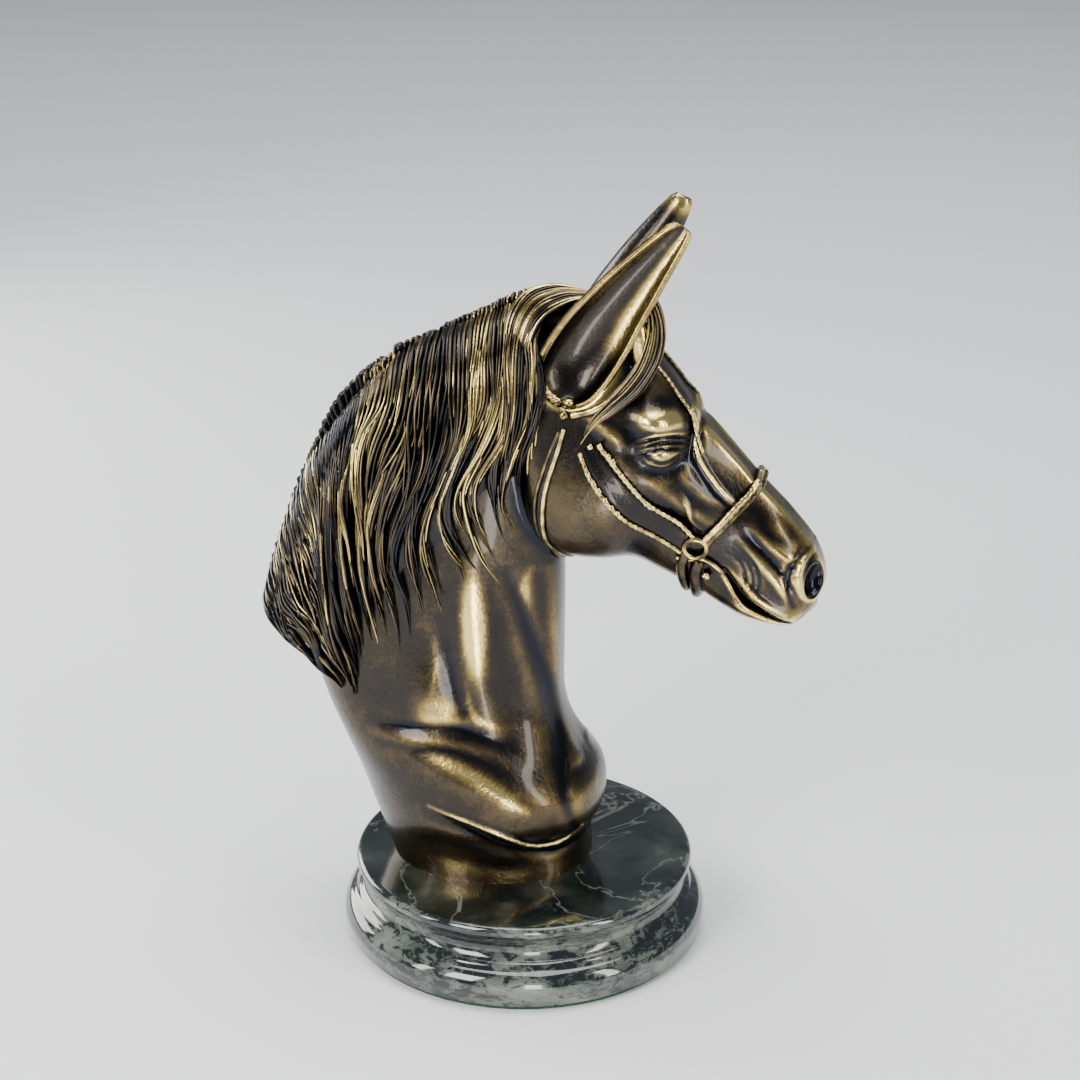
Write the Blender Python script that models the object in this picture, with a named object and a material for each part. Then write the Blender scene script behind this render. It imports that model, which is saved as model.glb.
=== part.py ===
"""A cast bronze horse bust with a bridle, bolted to a turned marble plinth.

Lengths in this file are millimetres, and mm() turns them into Blender's metres. +X is the way the
horse looks, -Y is its right side and +Z is up. The origin is the middle of the plinth's underside.
"""

import math

import bmesh
import bpy
from mathutils import Matrix, Vector
from mathutils.bvhtree import BVHTree

# Driving dimensions, in millimetres.
GAP = 0.3  # left between neighbouring pieces
WALL = 3.5  # thickness of the castings
PLINTH_TOP = 33.5
PLINTH_FOOT = 2.1  # height of the stone above the felt
FELT_THICKNESS = 1.8
STUD_RADIUS = 4.0  # M8
NUT_FLATS = 13.0
NUT_HEIGHT = 6.5
RECESS_RADIUS = 15.0  # for the nut, in the plinth's underside
RECESS_DEPTH = 12.0
BAR_BOTTOM = 52.0
BAR_THICKNESS = 5.0
BAR_WIDTH = 16.0
STRAP_THICKNESS = 1.7
EAR_THICKNESS = 2.0
SIDE_REACH = 60.0  # wider than the bust, for shapes that cut right through one side

BRONZE = (0.20, 0.13, 0.07)
GILT = (0.62, 0.44, 0.16)
STONE = (0.05, 0.07, 0.06)
FELT = (0.02, 0.07, 0.04)
STEEL = (0.55, 0.55, 0.56)

# Rings along each body and points around each ring.
HEAD_MESH = (28, 22)
NECK_MESH = (24, 24)
MANE_MESH = (20, 24)
PLINTH_STEPS = 48

# A station of the head or the neck is one flat section through it, square to the middle plane:
# (x and z of its crest end, x and z of its throat end, half width, where along it is widest).
HEAD = (
    (6, 246, 0, 214, 15, 0.5),
    (10, 254, 2, 192, 21, 0.5),
    (20, 257, 9, 172, 24, 0.56),
    (33, 254, 20, 164, 26, 0.54),
    (46, 245, 33, 163, 27, 0.42),
    (56, 234, 44, 163, 26.5, 0.34),
    (64, 223, 53, 160, 22.5, 0.36),
    (72, 214, 60, 156, 19, 0.42),
    (80, 205, 67, 153, 16.5, 0.48),
    (88, 197, 74, 150, 15, 0.52),
    (96, 189, 81, 146, 15, 0.55),
    (103, 181, 88, 143, 16.5, 0.5),
    (109, 173, 96, 141, 17, 0.45),
    (113.5, 165, 103, 142, 14.5, 0.45),
    (115.5, 158, 109, 146, 9, 0.5),
)
NECK = (
    (-52, 33.8, 27, 33.8, 34.5, 0.5),
    (-55, 42, 26.5, 42, 34.5, 0.5),
    (-58, 50, 28, 49, 37, 0.52),
    (-62, 60, 32, 58, 41, 0.55),
    (-66, 71, 31, 70, 41.5, 0.55),
    (-71, 84, 22, 83, 38.5, 0.52),
    (-78, 100, 16, 101, 33.5, 0.5),
    (-84, 122, 15.5, 123, 30, 0.48),
    (-86, 146, 16, 144, 28.5, 0.48),
    (-82, 170, 16, 160, 27, 0.5),
    (-72, 194, 16, 174, 25.5, 0.5),
    (-56, 215, 16, 188, 24, 0.5),
    (-37, 232, 18, 200, 22, 0.5),
    (-17, 243, 20, 212, 19.5, 0.5),
    (0, 247, 18, 226, 14, 0.5),
)
NECK_INSIDE = ((-50, 26, 25, 26, 33, 0.5), *NECK[:-1])
MANE = (
    (-69, 78, -14, 78, 45, 0.5),
    (-81, 100, 6, 100, 40, 0.5),
    (-95, 120, 14, 123, 36.5, 0.48),
    (-103, 133, 16, 137, 35.5, 0.48),
    (-99, 150, 17, 150, 34.5, 0.48),
    (-92, 168, 17, 162, 33.5, 0.5),
    (-79, 197, 18, 177, 31.5, 0.5),
    (-61, 223, 20, 192, 30, 0.5),
    (-40, 241, 24, 206, 28, 0.5),
    (-19, 252, 27, 220, 26, 0.5),
    (-2, 261, 28, 236, 22, 0.5),
    (12, 266, 27, 247, 15, 0.5),
)

# Where one lock of the mane ends and the next begins, as (x, z) from the crest to the lock's tip.
PARTINGS = (
    ((-84, 210), (-112, 174), (-116, 130), (-90, 104), (-72, 78)),
    ((-80, 212), (-84, 174), (-88, 148), (-82, 124), (-66, 86)),
    ((-60, 236), (-66, 206), (-70, 176), (-69, 148), (-60, 118), (-54, 96)),
    ((-47, 246), (-47, 214), (-53, 188), (-55, 158), (-50, 132), (-42, 112)),
    ((-31, 254), (-31, 220), (-39, 190), (-41, 166), (-35, 142), (-31, 122)),
    ((-21, 264), (-18, 228), (-23, 202), (-26, 176), (-20, 154), (-17, 132)),
    ((-12, 270), (-7, 238), (-9, 210), (-12, 184), (-9, 164), (-6, 148)),
    ((-3, 274), (-1, 248), (4, 214), (-2, 193), (2, 176), (8, 166)),
    ((6, 278), (4.5, 252), (9, 236), (14, 222), (12.5, 208), (10, 196), (10, 182), (13, 168)),
)
LOCK_NAMES = (
    "mane_lock_withers",
    "mane_lock_lower_rear",
    "mane_lock_middle_rear",
    "mane_lock_middle",
    "mane_lock_middle_front",
    "mane_lock_upper",
    "mane_lock_cheek",
    "mane_lock_poll",
)

# The side views of the straps, as (x, z) along each strap's middle, and the straps' half widths.
CHEEKPIECE = ((27.5, 219), (33.5, 210), (48, 191.5), (56, 182), (62, 177))
CHEEKPIECE_HALF = 3.3
CROWNPIECE = ((8, 268), (8, 250), (12, 239), (18.5, 231.5))
BROWBAND = ((25, 226.5), (33, 229), (41, 235), (47, 244), (50, 256))
THROATLATCH = ((20, 216), (18.5, 206), (18.2, 190), (20, 174), (27, 148))
NOSEBAND = ((71.5, 177.5), (84, 191), (97, 205))
CHIN_STRAP = ((66, 165.5), (66, 158), (70, 143))
NARROW_HALF = 1.6
KEEPERS = (("upper", 33.5, 210), ("lower", 53.5, 185.5))
KEEPER_HALF = 4.6
RING_CENTRE = (67.2, 171.6)
RING_RADIUS = 4.1
RING_WIRE = 1.1
KNOB_CENTRE = (21.5, 226)  # side view, as the ring's
FORELOCK = (
    (39.5, 268),
    (46, 264),
    (46.5, 250),
    (44, 244),
    (38.5, 236.8),
    (35, 234),
    (34, 235),
    (38, 242),
    (39.5, 248),
)

# Straps that cross the head from one side to the other: (name, side view of its middle, thickness).
CROSSING_STRAPS = (
    ("crownpiece", CROWNPIECE, 2.4),
    ("browband", BROWBAND, 2.2),
    ("throatlatch", THROATLATCH, 1.8),
    ("noseband", NOSEBAND, 2.2),
    ("chin_strap", CHIN_STRAP, 1.8),
)
FORELOCK_THICKNESS = 4.5
KEEPER_THICKNESS = 0.8  # over the strap that it holds
KNOB_RADIUS = 2.4
KNOB_LIFT = 1.2  # of the knob's middle above the skin
RING_LIFT = 0.6

# The turned profile of the plinth: a rounded lip, a cove under it and a round foot moulding.
LIP_RADIUS = 67.0
LIP_ROUND = 2.6
COVE_HEIGHT = 22.6
COVE_ROUND = 5.2
FILLET = (66.6, 17.2)  # radius and height of the edge between the cove and the foot
FOOT_RADIUS = 72.3
FOOT_ROUND = 7.4
FOOT_HEIGHT = 9.0
FELT_INSET = 3.0

# The fixing inside the bust.
WASHER_RADIUS = 12.0
WASHER_THICKNESS = 1.6
STUD_BOTTOM = 3.6
STUD_ABOVE_BAR = 16.0


def mm(*values):
    return Vector(value * 0.001 for value in values)


def material(name, colour, roughness, metallic):
    made = bpy.data.materials.new(name)
    made.use_nodes = True
    shader = made.node_tree.nodes["Principled BSDF"]
    shader.inputs["Base Color"].default_value = (*colour, 1)
    shader.inputs["Roughness"].default_value = roughness
    shader.inputs["Metallic"].default_value = metallic
    made.diffuse_color = (*colour, 1)
    return made


def add_object(name, mesh, finish=None):
    made = bpy.data.objects.new(name, mesh)
    bpy.context.scene.collection.objects.link(made)
    if finish:
        mesh.materials.append(finish)
    return made


def as_helper(obj):
    obj.hide_render = True
    obj.display_type = "WIRE"
    return obj


def mesh_from(name, bm):
    bmesh.ops.recalc_face_normals(bm, faces=bm.faces)
    mesh = bpy.data.meshes.new(name)
    bm.to_mesh(mesh)
    bm.free()
    mesh.shade_smooth()
    mesh.set_sharp_from_angle(angle=math.radians(50))
    return mesh


def catmull_rom(t, a, b, c, d):
    bend = 2 * a - 5 * b + 4 * c - d
    twist = 3 * b - a - 3 * c + d
    return 0.5 * (2 * b + t * (c - a) + t * t * bend + t**3 * twist)


def smooth_between(rows, places):
    """Rows of numbers read along a Catmull-Rom curve through them, at that many even places."""
    padded = (rows[0], *rows, rows[-1])
    found = []
    for place in range(places):
        at = place / (places - 1) * (len(rows) - 1)
        k = min(int(at), len(rows) - 2)
        t = at - k
        before, start, end, after = padded[k : k + 4]
        found.append(tuple(catmull_rom(t, *four) for four in zip(before, start, end, after)))
    return found


def section_ring(station, points, grow):
    """One closed ring of a section: an oval that is widest where the station says."""
    x0, z0, x1, z1, half, widest = station
    along = Vector((x1 - x0, 0, z1 - z0))
    length = along.length
    along.normalize()
    start = Vector((x0, 0, z0)) - along * grow
    bend = math.log(widest) / math.log(0.5)
    ring = []
    for k in range(points):
        angle = 2 * math.pi * k / points
        share = (0.5 - 0.5 * math.cos(angle)) ** bend
        side = math.sin(angle)
        width = math.copysign(abs(side) ** 0.85, side) * (half + grow)
        ring.append(start + along * share * (length + 2 * grow) + Vector((0, width, 0)))
    return ring


def skin_rings(bm, rings):
    """Joins rings of equal length with quads and closes both ends."""
    rows = [[bm.verts.new(p * 0.001) for p in ring] for ring in rings]
    count = len(rows[0])
    for lower, upper in zip(rows, rows[1:]):
        for k in range(count):
            bm.faces.new((lower[k], lower[(k + 1) % count], upper[(k + 1) % count], upper[k]))
    bm.faces.new(rows[0][::-1])
    bm.faces.new(rows[-1])


def loft(name, stations, rings, points, grow=0.0):
    bm = bmesh.new()
    skin_rings(bm, [section_ring(s, points, grow) for s in smooth_between(stations, rings)])
    return mesh_from(name, bm)


def side_outline(middle, half):
    """The outline of a strip of that half width along a line in side view, with square ends."""
    left, right = [], []
    for k, (x, z) in enumerate(middle):
        before = middle[max(k - 1, 0)]
        after = middle[min(k + 1, len(middle) - 1)]
        across = Vector((before[1] - after[1], after[0] - before[0])).normalized() * half
        left.append((x + across.x, z + across.y))
        right.append((x - across.x, z - across.y))
    return left + right[::-1]


def prism(name, outline, y_from, y_to):
    """A side-view outline carried across the bust between two distances off its middle plane."""
    bm = bmesh.new()
    face = bm.faces.new([bm.verts.new(mm(x, y_from, z)) for x, z in outline])
    moved = bmesh.ops.extrude_face_region(bm, geom=[face])["geom"]
    verts = [v for v in moved if isinstance(v, bmesh.types.BMVert)]
    bmesh.ops.translate(bm, verts=verts, vec=mm(0, y_to - y_from, 0))
    bmesh.ops.triangulate(bm, faces=bm.faces)
    return mesh_from(name, bm)


def turned(name, profile, steps, finish=None):
    """A solid of revolution about Z from a closed profile of (radius, height)."""
    bm = bmesh.new()
    verts = [bm.verts.new(mm(r, 0, z)) for r, z in profile]
    edges = [bm.edges.new((a, b)) for a, b in zip(verts, verts[1:] + verts[:1])]
    bmesh.ops.spin(
        bm,
        geom=verts + edges,
        axis=(0, 0, 1),
        cent=(0, 0, 0),
        angle=2 * math.pi,
        steps=steps,
        use_merge=True,
    )
    bmesh.ops.remove_doubles(bm, verts=bm.verts, dist=1e-6)
    return add_object(name, mesh_from(name, bm), finish)


def rod(name, radius, bottom, top, chamfer, finish, sides=24):
    inner = radius - chamfer
    profile = ((inner, bottom), (radius, bottom + chamfer), (radius, top - chamfer), (inner, top))
    rings = []
    for reach, z in profile:
        rings.append([Vector((reach * math.cos(a), reach * math.sin(a), z)) for a in angles(sides)])
    bm = bmesh.new()
    skin_rings(bm, rings)
    return add_object(name, mesh_from(name, bm), finish)


def angles(count):
    return [2 * math.pi * k / count for k in range(count)]


def boolean(target, other, operation):
    cut = target.modifiers.new(other.name, "BOOLEAN")
    cut.operation = operation
    cut.solver = "EXACT"
    cut.object = as_helper(other)


def cut_by(target, *others):
    for other in others:
        boolean(target, other, "DIFFERENCE")


def kept_in(target, *others):
    for other in others:
        boolean(target, other, "INTERSECT")


def arc(centre, radius, start, end, steps):
    """Points of an arc in (radius, height), with its angles in degrees."""
    found = []
    for k in range(steps + 1):
        angle = math.radians(start + (end - start) * k / steps)
        found.append((centre[0] + radius * math.cos(angle), centre[1] + radius * math.sin(angle)))
    return found


def make_plinth(stone, felt):
    roof = PLINTH_FOOT + RECESS_DEPTH
    bore = STUD_RADIUS + 0.5
    profile = [(bore, roof), (bore, PLINTH_TOP)]
    profile += arc((LIP_RADIUS - LIP_ROUND, PLINTH_TOP - LIP_ROUND), LIP_ROUND, 90, -60, 4)
    profile += arc((LIP_RADIUS + 1.0, COVE_HEIGHT), COVE_ROUND, 150, 236, 4)
    profile += [FILLET]
    profile += arc((FOOT_RADIUS - FOOT_ROUND, FOOT_HEIGHT), FOOT_ROUND, 66, -20, 4)
    profile += [(FOOT_RADIUS - 2.0, PLINTH_FOOT)]
    profile += [(RECESS_RADIUS, PLINTH_FOOT), (RECESS_RADIUS, roof)]
    turned("marble_plinth", profile, PLINTH_STEPS, stone)
    rod("felt_pad", FOOT_RADIUS - FELT_INSET, 0.0, FELT_THICKNESS, 0.3, felt, PLINTH_STEPS)


def hex_nut(name, bottom, finish):
    corner = NUT_FLATS / math.sqrt(3)
    bore = STUD_RADIUS + GAP
    bm = bmesh.new()
    rows = []
    for radius, sides, z in (
        (bore, 24, bottom),
        (corner, 24, bottom),
        (corner, 24, bottom + NUT_HEIGHT),
        (bore, 24, bottom + NUT_HEIGHT),
    ):
        ring = []
        for angle in angles(sides):
            reach = radius
            if radius > bore:
                sector = (angle + math.pi / 6) % (math.pi / 3) - math.pi / 6
                reach = NUT_FLATS / 2 / math.cos(sector)
            ring.append(bm.verts.new(mm(reach * math.cos(angle), reach * math.sin(angle), z)))
        rows.append(ring)
    for lower, upper in zip(rows, rows[1:] + rows[:1]):
        for k in range(24):
            bm.faces.new((lower[k], lower[(k + 1) % 24], upper[(k + 1) % 24], upper[k]))
    return add_object(name, mesh_from(name, bm), finish)


def make_fixing(steel, core):
    roof = PLINTH_FOOT + RECESS_DEPTH
    washer_top = roof - GAP
    washer_bottom = washer_top - WASHER_THICKNESS
    bore = STUD_RADIUS + GAP
    washer = [(bore, washer_bottom), (WASHER_RADIUS, washer_bottom)]
    washer += [(WASHER_RADIUS, washer_top), (bore, washer_top)]
    turned("stud_washer", washer, 32, steel)
    hex_nut("stud_nut", washer_bottom - GAP - NUT_HEIGHT, steel)
    hex_nut("bar_nut_lower", BAR_BOTTOM - GAP - NUT_HEIGHT, steel)
    hex_nut("bar_nut_upper", BAR_BOTTOM + BAR_THICKNESS + GAP, steel)
    rod("mounting_stud", STUD_RADIUS, STUD_BOTTOM, BAR_BOTTOM + STUD_ABOVE_BAR, 0.8, steel)
    half = BAR_WIDTH / 2
    outline = ((-half, BAR_BOTTOM), (half, BAR_BOTTOM))
    outline += ((half, BAR_BOTTOM + BAR_THICKNESS), (-half, BAR_BOTTOM + BAR_THICKNESS))
    bar = add_object("anchor_bar", prism("anchor_bar", outline, -SIDE_REACH, SIDE_REACH), steel)
    kept_in(bar, add_object("anchor_bar_fit", core))
    cut_by(bar, rod("anchor_bar_hole", bore, BAR_BOTTOM - 5, BAR_BOTTOM + 10, 0.1, None))


def ear_mesh(name, side):
    """A pointed leaf rolled into a cup that opens to its own side of the head."""
    base, tip = Vector((19.5, 19.5 * side, 236)), Vector((60.5, 14.5 * side, 293))
    if side > 0:
        tip = Vector((57.0, 15.5, 297.5))
    axis = (tip - base).normalized()
    across = axis.cross(Vector((0, 1, 0))).normalized()
    out = across.cross(axis) * -side
    across_steps, along_steps = 10, 12
    bm = bmesh.new()
    rows = []
    for j in range(along_steps + 1):
        t = j / along_steps
        half = 11.5 * (1 - t) ** 0.62 * (0.86 + 0.6 * t) + 1.6
        wrap = math.radians(120 - 50 * t)
        middle = base.lerp(tip, t) + across * 1.2 * math.sin(math.pi * t)
        row = []
        for i in range(across_steps + 1):
            angle = wrap * (2 * i / across_steps - 1)
            spread = math.sin(angle) / max(math.sin(min(wrap, math.pi / 2)), 0.1)
            offset = across * spread + out * 0.7 * math.cos(angle)
            row.append(bm.verts.new((middle + offset * half) * 0.001))
        rows.append(row)
    for lower, upper in zip(rows, rows[1:]):
        for i in range(across_steps):
            bm.faces.new((lower[i], lower[i + 1], upper[i + 1], upper[i]))
    mesh = mesh_from(name, bm)
    if side > 0:
        mesh.flip_normals()
    return mesh


def make_castings(bronze):
    head = add_object("head_casting", loft("head_casting", HEAD, *HEAD_MESH), bronze)
    neck = add_object("neck_casting", loft("neck_casting", NECK, *NECK_MESH), bronze)
    head_core = add_object("head_core", loft("head_core", HEAD[2:-2], 14, 14, -WALL))
    neck_core = add_object("neck_core", loft("neck_core", NECK_INSIDE, 20, 16, -WALL))
    head_clear = add_object("head_clear", loft("head_clear", HEAD, *HEAD_MESH, GAP))
    cut_by(head, head_core, neck_core)
    cut_by(neck, neck_core, head_clear)
    return head_clear


def leaf(name, side, thickness, finish=None):
    made = add_object(name, ear_mesh(name, side), finish)
    wall = made.modifiers.new("wall", "SOLIDIFY")
    wall.thickness = thickness * 0.001
    wall.offset = 0
    return made


def make_ears(bronze, head_clear):
    for name, side in (("ear_right", -1), ("ear_left", 1)):
        cut_by(leaf(name, side, EAR_THICKNESS, bronze), head_clear)
    thickness = EAR_THICKNESS + 2 * GAP
    return [leaf("ear_clear_right", -1, thickness), leaf("ear_clear_left", 1, thickness)]


def lock_outline(front, back, clearance):
    """The side view of a lock between two partings, which narrows to one tip."""
    lines = []
    for parting, shift in ((front, -clearance), (back, clearance)):
        lines.append([(x + shift, z) for x, z in smooth_between(parting, 9)])
    tip = tuple((a + b) / 2 for a, b in zip(lines[0][-1], lines[1][-1]))
    return lines[0][:-1] + [tip] + lines[1][:-1][::-1]


def make_mane(bronze, head_clear, ears_clear):
    neck_clear = add_object("neck_clear", loft("neck_clear", NECK, *NECK_MESH, GAP))
    for name, back, front in zip(LOCK_NAMES, PARTINGS, PARTINGS[1:]):
        lock = add_object(name, loft(name, MANE, *MANE_MESH), bronze)
        outline = lock_outline(front, back, 0.35)
        kept_in(lock, add_object(name + "_shape", prism(name + "_shape", outline, -SIDE_REACH, 4)))
        cut_by(lock, neck_clear, head_clear)
        if name == "mane_lock_poll":
            cut_by(lock, ears_clear[0])


def make_strap(name, outline, y_from, y_to, head_clear, finish, thickness=STRAP_THICKNESS):
    """A strap that follows the head's surface inside a side-view outline."""
    strap = add_object(name, loft(name, HEAD, *HEAD_MESH, GAP + thickness), finish)
    kept_in(strap, add_object(name + "_shape", prism(name + "_shape", outline, y_from, y_to)))
    cut_by(strap, head_clear)
    return strap


def along_strap(middle, place, half):
    """A square patch of a strap's side view, around one point of it."""
    x, z = place
    near = min(range(1, len(middle)), key=lambda k: abs(middle[k][0] - x) + abs(middle[k][1] - z))
    ahead = (Vector(middle[near]) - Vector(middle[near - 1])).normalized()
    ends = [(x - ahead.x * 2, z - ahead.y * 2), (x + ahead.x * 2, z + ahead.y * 2)]
    return side_outline(ends, half)


def on_the_side(surface, place, side):
    """The point of a surface straight in from one side of the bust, and the way it faces there."""
    start = mm(place[0], side * SIDE_REACH, place[1])
    point, normal, _, _ = surface.ray_cast(start, Vector((0, -side, 0)))
    return point, normal


def make_ring(name, surface, side, head_clear, finish):
    point, normal = on_the_side(surface, RING_CENTRE, side)
    bm = bmesh.new()
    verts = []
    for a in angles(20):
        row = []
        for b in angles(8):
            reach = RING_RADIUS + RING_WIRE * math.cos(b)
            height = RING_WIRE * math.sin(b)
            row.append(bm.verts.new(mm(reach * math.cos(a), reach * math.sin(a), height)))
        verts.append(row)
    for row, after in zip(verts, verts[1:] + verts[:1]):
        for k in range(8):
            bm.faces.new((row[k], row[(k + 1) % 8], after[(k + 1) % 8], after[k]))
    turn = normal.to_track_quat("Z", "Y").to_matrix().to_4x4()
    bm.transform(Matrix.Translation(point + normal * RING_LIFT * 0.001) @ turn)
    ring = add_object(name, mesh_from(name, bm), finish)
    cut_by(ring, head_clear)


def make_knob(name, surface, side, head_clear, finish):
    point, normal = on_the_side(surface, KNOB_CENTRE, side)
    bm = bmesh.new()
    bmesh.ops.create_uvsphere(bm, u_segments=14, v_segments=9, radius=KNOB_RADIUS * 0.001)
    turn = normal.to_track_quat("Z", "Y").to_matrix().to_4x4()
    bm.transform(Matrix.Translation(point + normal * KNOB_LIFT * 0.001) @ turn)
    knob = add_object(name, mesh_from(name, bm), finish)
    cut_by(knob, head_clear)


def make_bridle(finish, head_clear, ears_clear):
    neck_clear = bpy.data.objects["neck_clear"]
    surface = BVHTree.FromObject(head_clear, bpy.context.evaluated_depsgraph_get())
    cheek_line = smooth_between(CHEEKPIECE, 12)
    over = 2 * GAP + STRAP_THICKNESS
    over_strap = add_object("over_strap", loft("over_strap", HEAD, *HEAD_MESH, over))
    for word, side in (("right", -1), ("left", 1)):
        reach = sorted((side * 4, side * SIDE_REACH))
        outline = side_outline(cheek_line, CHEEKPIECE_HALF)
        make_strap("cheekpiece_" + word, outline, *reach, head_clear, finish)
        for place, x, z in KEEPERS:
            outline = along_strap(cheek_line, (x, z), KEEPER_HALF)
            name = "keeper_" + place + "_" + word
            make_strap(name, outline, *reach, over_strap, finish, over + KEEPER_THICKNESS)
        make_ring("bit_ring_" + word, surface, side, head_clear, finish)
        make_knob("crown_knob_" + word, surface, side, head_clear, finish)
    for name, middle, thickness in CROSSING_STRAPS:
        outline = side_outline(smooth_between(middle, 8), NARROW_HALF)
        strap = make_strap(name, outline, -SIDE_REACH, SIDE_REACH, head_clear, finish, thickness)
        if name == "crownpiece":
            cut_by(strap, neck_clear)
        if name in ("crownpiece", "browband"):
            cut_by(strap, *ears_clear)


def clear_scene():
    for obj in list(bpy.data.objects):
        bpy.data.objects.remove(obj)


def main():
    clear_scene()
    bronze = material("bronze", BRONZE, 0.32, 1.0)
    gilt = material("gilt_bronze", GILT, 0.25, 1.0)
    stone = material("green_marble", STONE, 0.12, 0.0)
    felt = material("felt", FELT, 0.95, 0.0)
    steel = material("steel", STEEL, 0.35, 1.0)
    make_plinth(stone, felt)
    fit = loft("anchor_bar_fit", NECK_INSIDE, 20, 16, -WALL - GAP)
    make_fixing(steel, fit)
    head_clear = make_castings(bronze)
    ears_clear = make_ears(bronze, head_clear)
    make_mane(bronze, head_clear, ears_clear)
    forelock = make_strap(
        "forelock", FORELOCK, -SIDE_REACH, 8, head_clear, bronze, FORELOCK_THICKNESS
    )
    cut_by(forelock, *ears_clear)
    make_bridle(gilt, head_clear, ears_clear)


main()
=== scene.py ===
"""The looks of the bronze horse bust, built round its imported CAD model.

Shapes are worked out in millimetres and turned into Blender's metres in build_mesh(). +X is the way
the horse looks, -Y is its right side, where the mane falls, and +Z is up.
"""

import copy
import math

import bpy
import numpy as np
import openvdb
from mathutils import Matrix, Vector


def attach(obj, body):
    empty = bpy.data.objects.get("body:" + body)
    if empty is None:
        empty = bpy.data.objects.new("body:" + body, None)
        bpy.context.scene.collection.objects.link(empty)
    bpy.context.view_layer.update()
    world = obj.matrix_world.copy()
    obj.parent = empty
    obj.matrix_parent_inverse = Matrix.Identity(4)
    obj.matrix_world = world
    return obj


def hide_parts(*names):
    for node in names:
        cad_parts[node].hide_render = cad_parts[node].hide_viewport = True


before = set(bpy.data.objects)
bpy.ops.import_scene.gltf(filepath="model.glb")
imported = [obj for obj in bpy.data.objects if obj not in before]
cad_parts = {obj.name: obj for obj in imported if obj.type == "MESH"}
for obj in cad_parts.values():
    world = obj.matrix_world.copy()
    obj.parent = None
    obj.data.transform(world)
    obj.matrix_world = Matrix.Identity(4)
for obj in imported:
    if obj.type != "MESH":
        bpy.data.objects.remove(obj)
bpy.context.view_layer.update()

RIGHT, LEFT = -1, 1
HEAD_STEP = 0.55  # grid spacing of the sculpted head
NECK_STEP = 0.8
MANE_STEP = 1.0
BAND = 7.0  # how far from a surface its distances are worked out
NECK_FOOT = 31.0  # where the neck is cut flat, inside the plinth
SEAM = 8.0  # the x where the head's casting meets the neck's
JAW_FOOT = 138.0  # the z below which everything is the neck's
NOSTRIL = (112.8, 11.5, 161.2)
NOSTRIL_RADII = (4.6, 7.2, 7.4)

# A station of the neck or the mane is one flat section through it, square to the middle plane:
# (x and z of its crest end, x and z of its throat end, half width, where along it is widest).
NECK = (
    (-51, 22, 27, 22, 34.5, 0.5),
    (-52, 33.8, 27, 33.8, 34.5, 0.5),
    (-55, 42, 26.5, 42, 34.5, 0.5),
    (-58, 50, 28, 49, 37, 0.52),
    (-62, 60, 32, 58, 41, 0.55),
    (-66, 71, 31, 70, 41.5, 0.55),
    (-71, 84, 22, 83, 38.5, 0.52),
    (-78, 100, 16, 101, 33.5, 0.5),
    (-84, 122, 15.5, 123, 30, 0.48),
    (-86, 146, 16, 144, 28.5, 0.48),
    (-82, 170, 16, 160, 27, 0.5),
    (-72, 194, 16, 174, 25.5, 0.5),
    (-56, 215, 16, 188, 24, 0.5),
    (-37, 232, 18, 200, 22, 0.5),
    (-17, 243, 20, 212, 19.5, 0.5),
    (0, 247, 18, 226, 14, 0.5),
)
MANE = (
    (-62, 62, -30, 62, 44, 0.5),
    (-69, 78, -14, 78, 43, 0.5),
    (-81, 100, 6, 100, 38, 0.5),
    (-93, 120, 14, 123, 34.5, 0.48),
    (-100, 133, 16, 137, 33, 0.48),
    (-96, 150, 17, 150, 32, 0.48),
    (-90, 168, 17, 162, 31, 0.5),
    (-77, 196, 18, 177, 29.5, 0.5),
    (-60, 221, 20, 192, 28, 0.5),
    (-39, 239, 24, 206, 26.5, 0.5),
    (-18, 249, 27, 220, 25, 0.5),
    (-2, 256, 28, 236, 20, 0.5),
    (12, 260, 27, 247, 13, 0.5),
)
# The head's stations: (x and z of the brow line, x and z of the jaw line, half width of the flat front,
# then half widths at SHARES of the way down, half width of the flat underside).
SHARES = (0.15, 0.35, 0.55, 0.75, 0.92)
HEAD = (
    (2, 244, -4, 218, 5, 10, 13, 13, 12, 9, 6),
    (7, 253, 0, 196, 8, 16, 20, 21, 19, 14, 8),
    (16, 257, 5, 176, 9, 18, 22, 24, 24, 19, 10),
    (30, 255, 17, 165, 10, 19, 23.5, 26, 26.5, 21, 10),
    (45, 246, 31, 162.5, 11, 20, 25, 26, 25, 18, 8),
    (55, 236, 43, 163.5, 11, 20, 24.5, 24, 21, 14, 7),
    (64, 224, 53, 159, 10.5, 16, 20.5, 20, 17, 11.5, 6),
    (72, 214.5, 61, 155, 9.5, 13.5, 17.5, 17, 14, 10, 5.5),
    (80, 205.5, 68, 151.5, 8.5, 12, 15.5, 15, 12.5, 9.5, 5.5),
    (88, 197, 74.5, 147.5, 8, 11, 14, 14, 12.5, 10, 6),
    (96, 189, 81, 144.5, 7.5, 11, 14, 15, 14, 11, 6.5),
    (103, 181.5, 88, 142, 7.5, 12.5, 15.5, 16, 15, 12, 7),
    (109.5, 173.5, 95.5, 140.5, 7.5, 12.5, 16, 16, 15, 12, 7),
    (114, 165, 102.5, 140.5, 6.5, 11, 13.5, 14, 13, 10.5, 6),
    (115.5, 158, 108.5, 144.5, 3.5, 6, 8, 9, 8, 6.5, 3),
)

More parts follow.
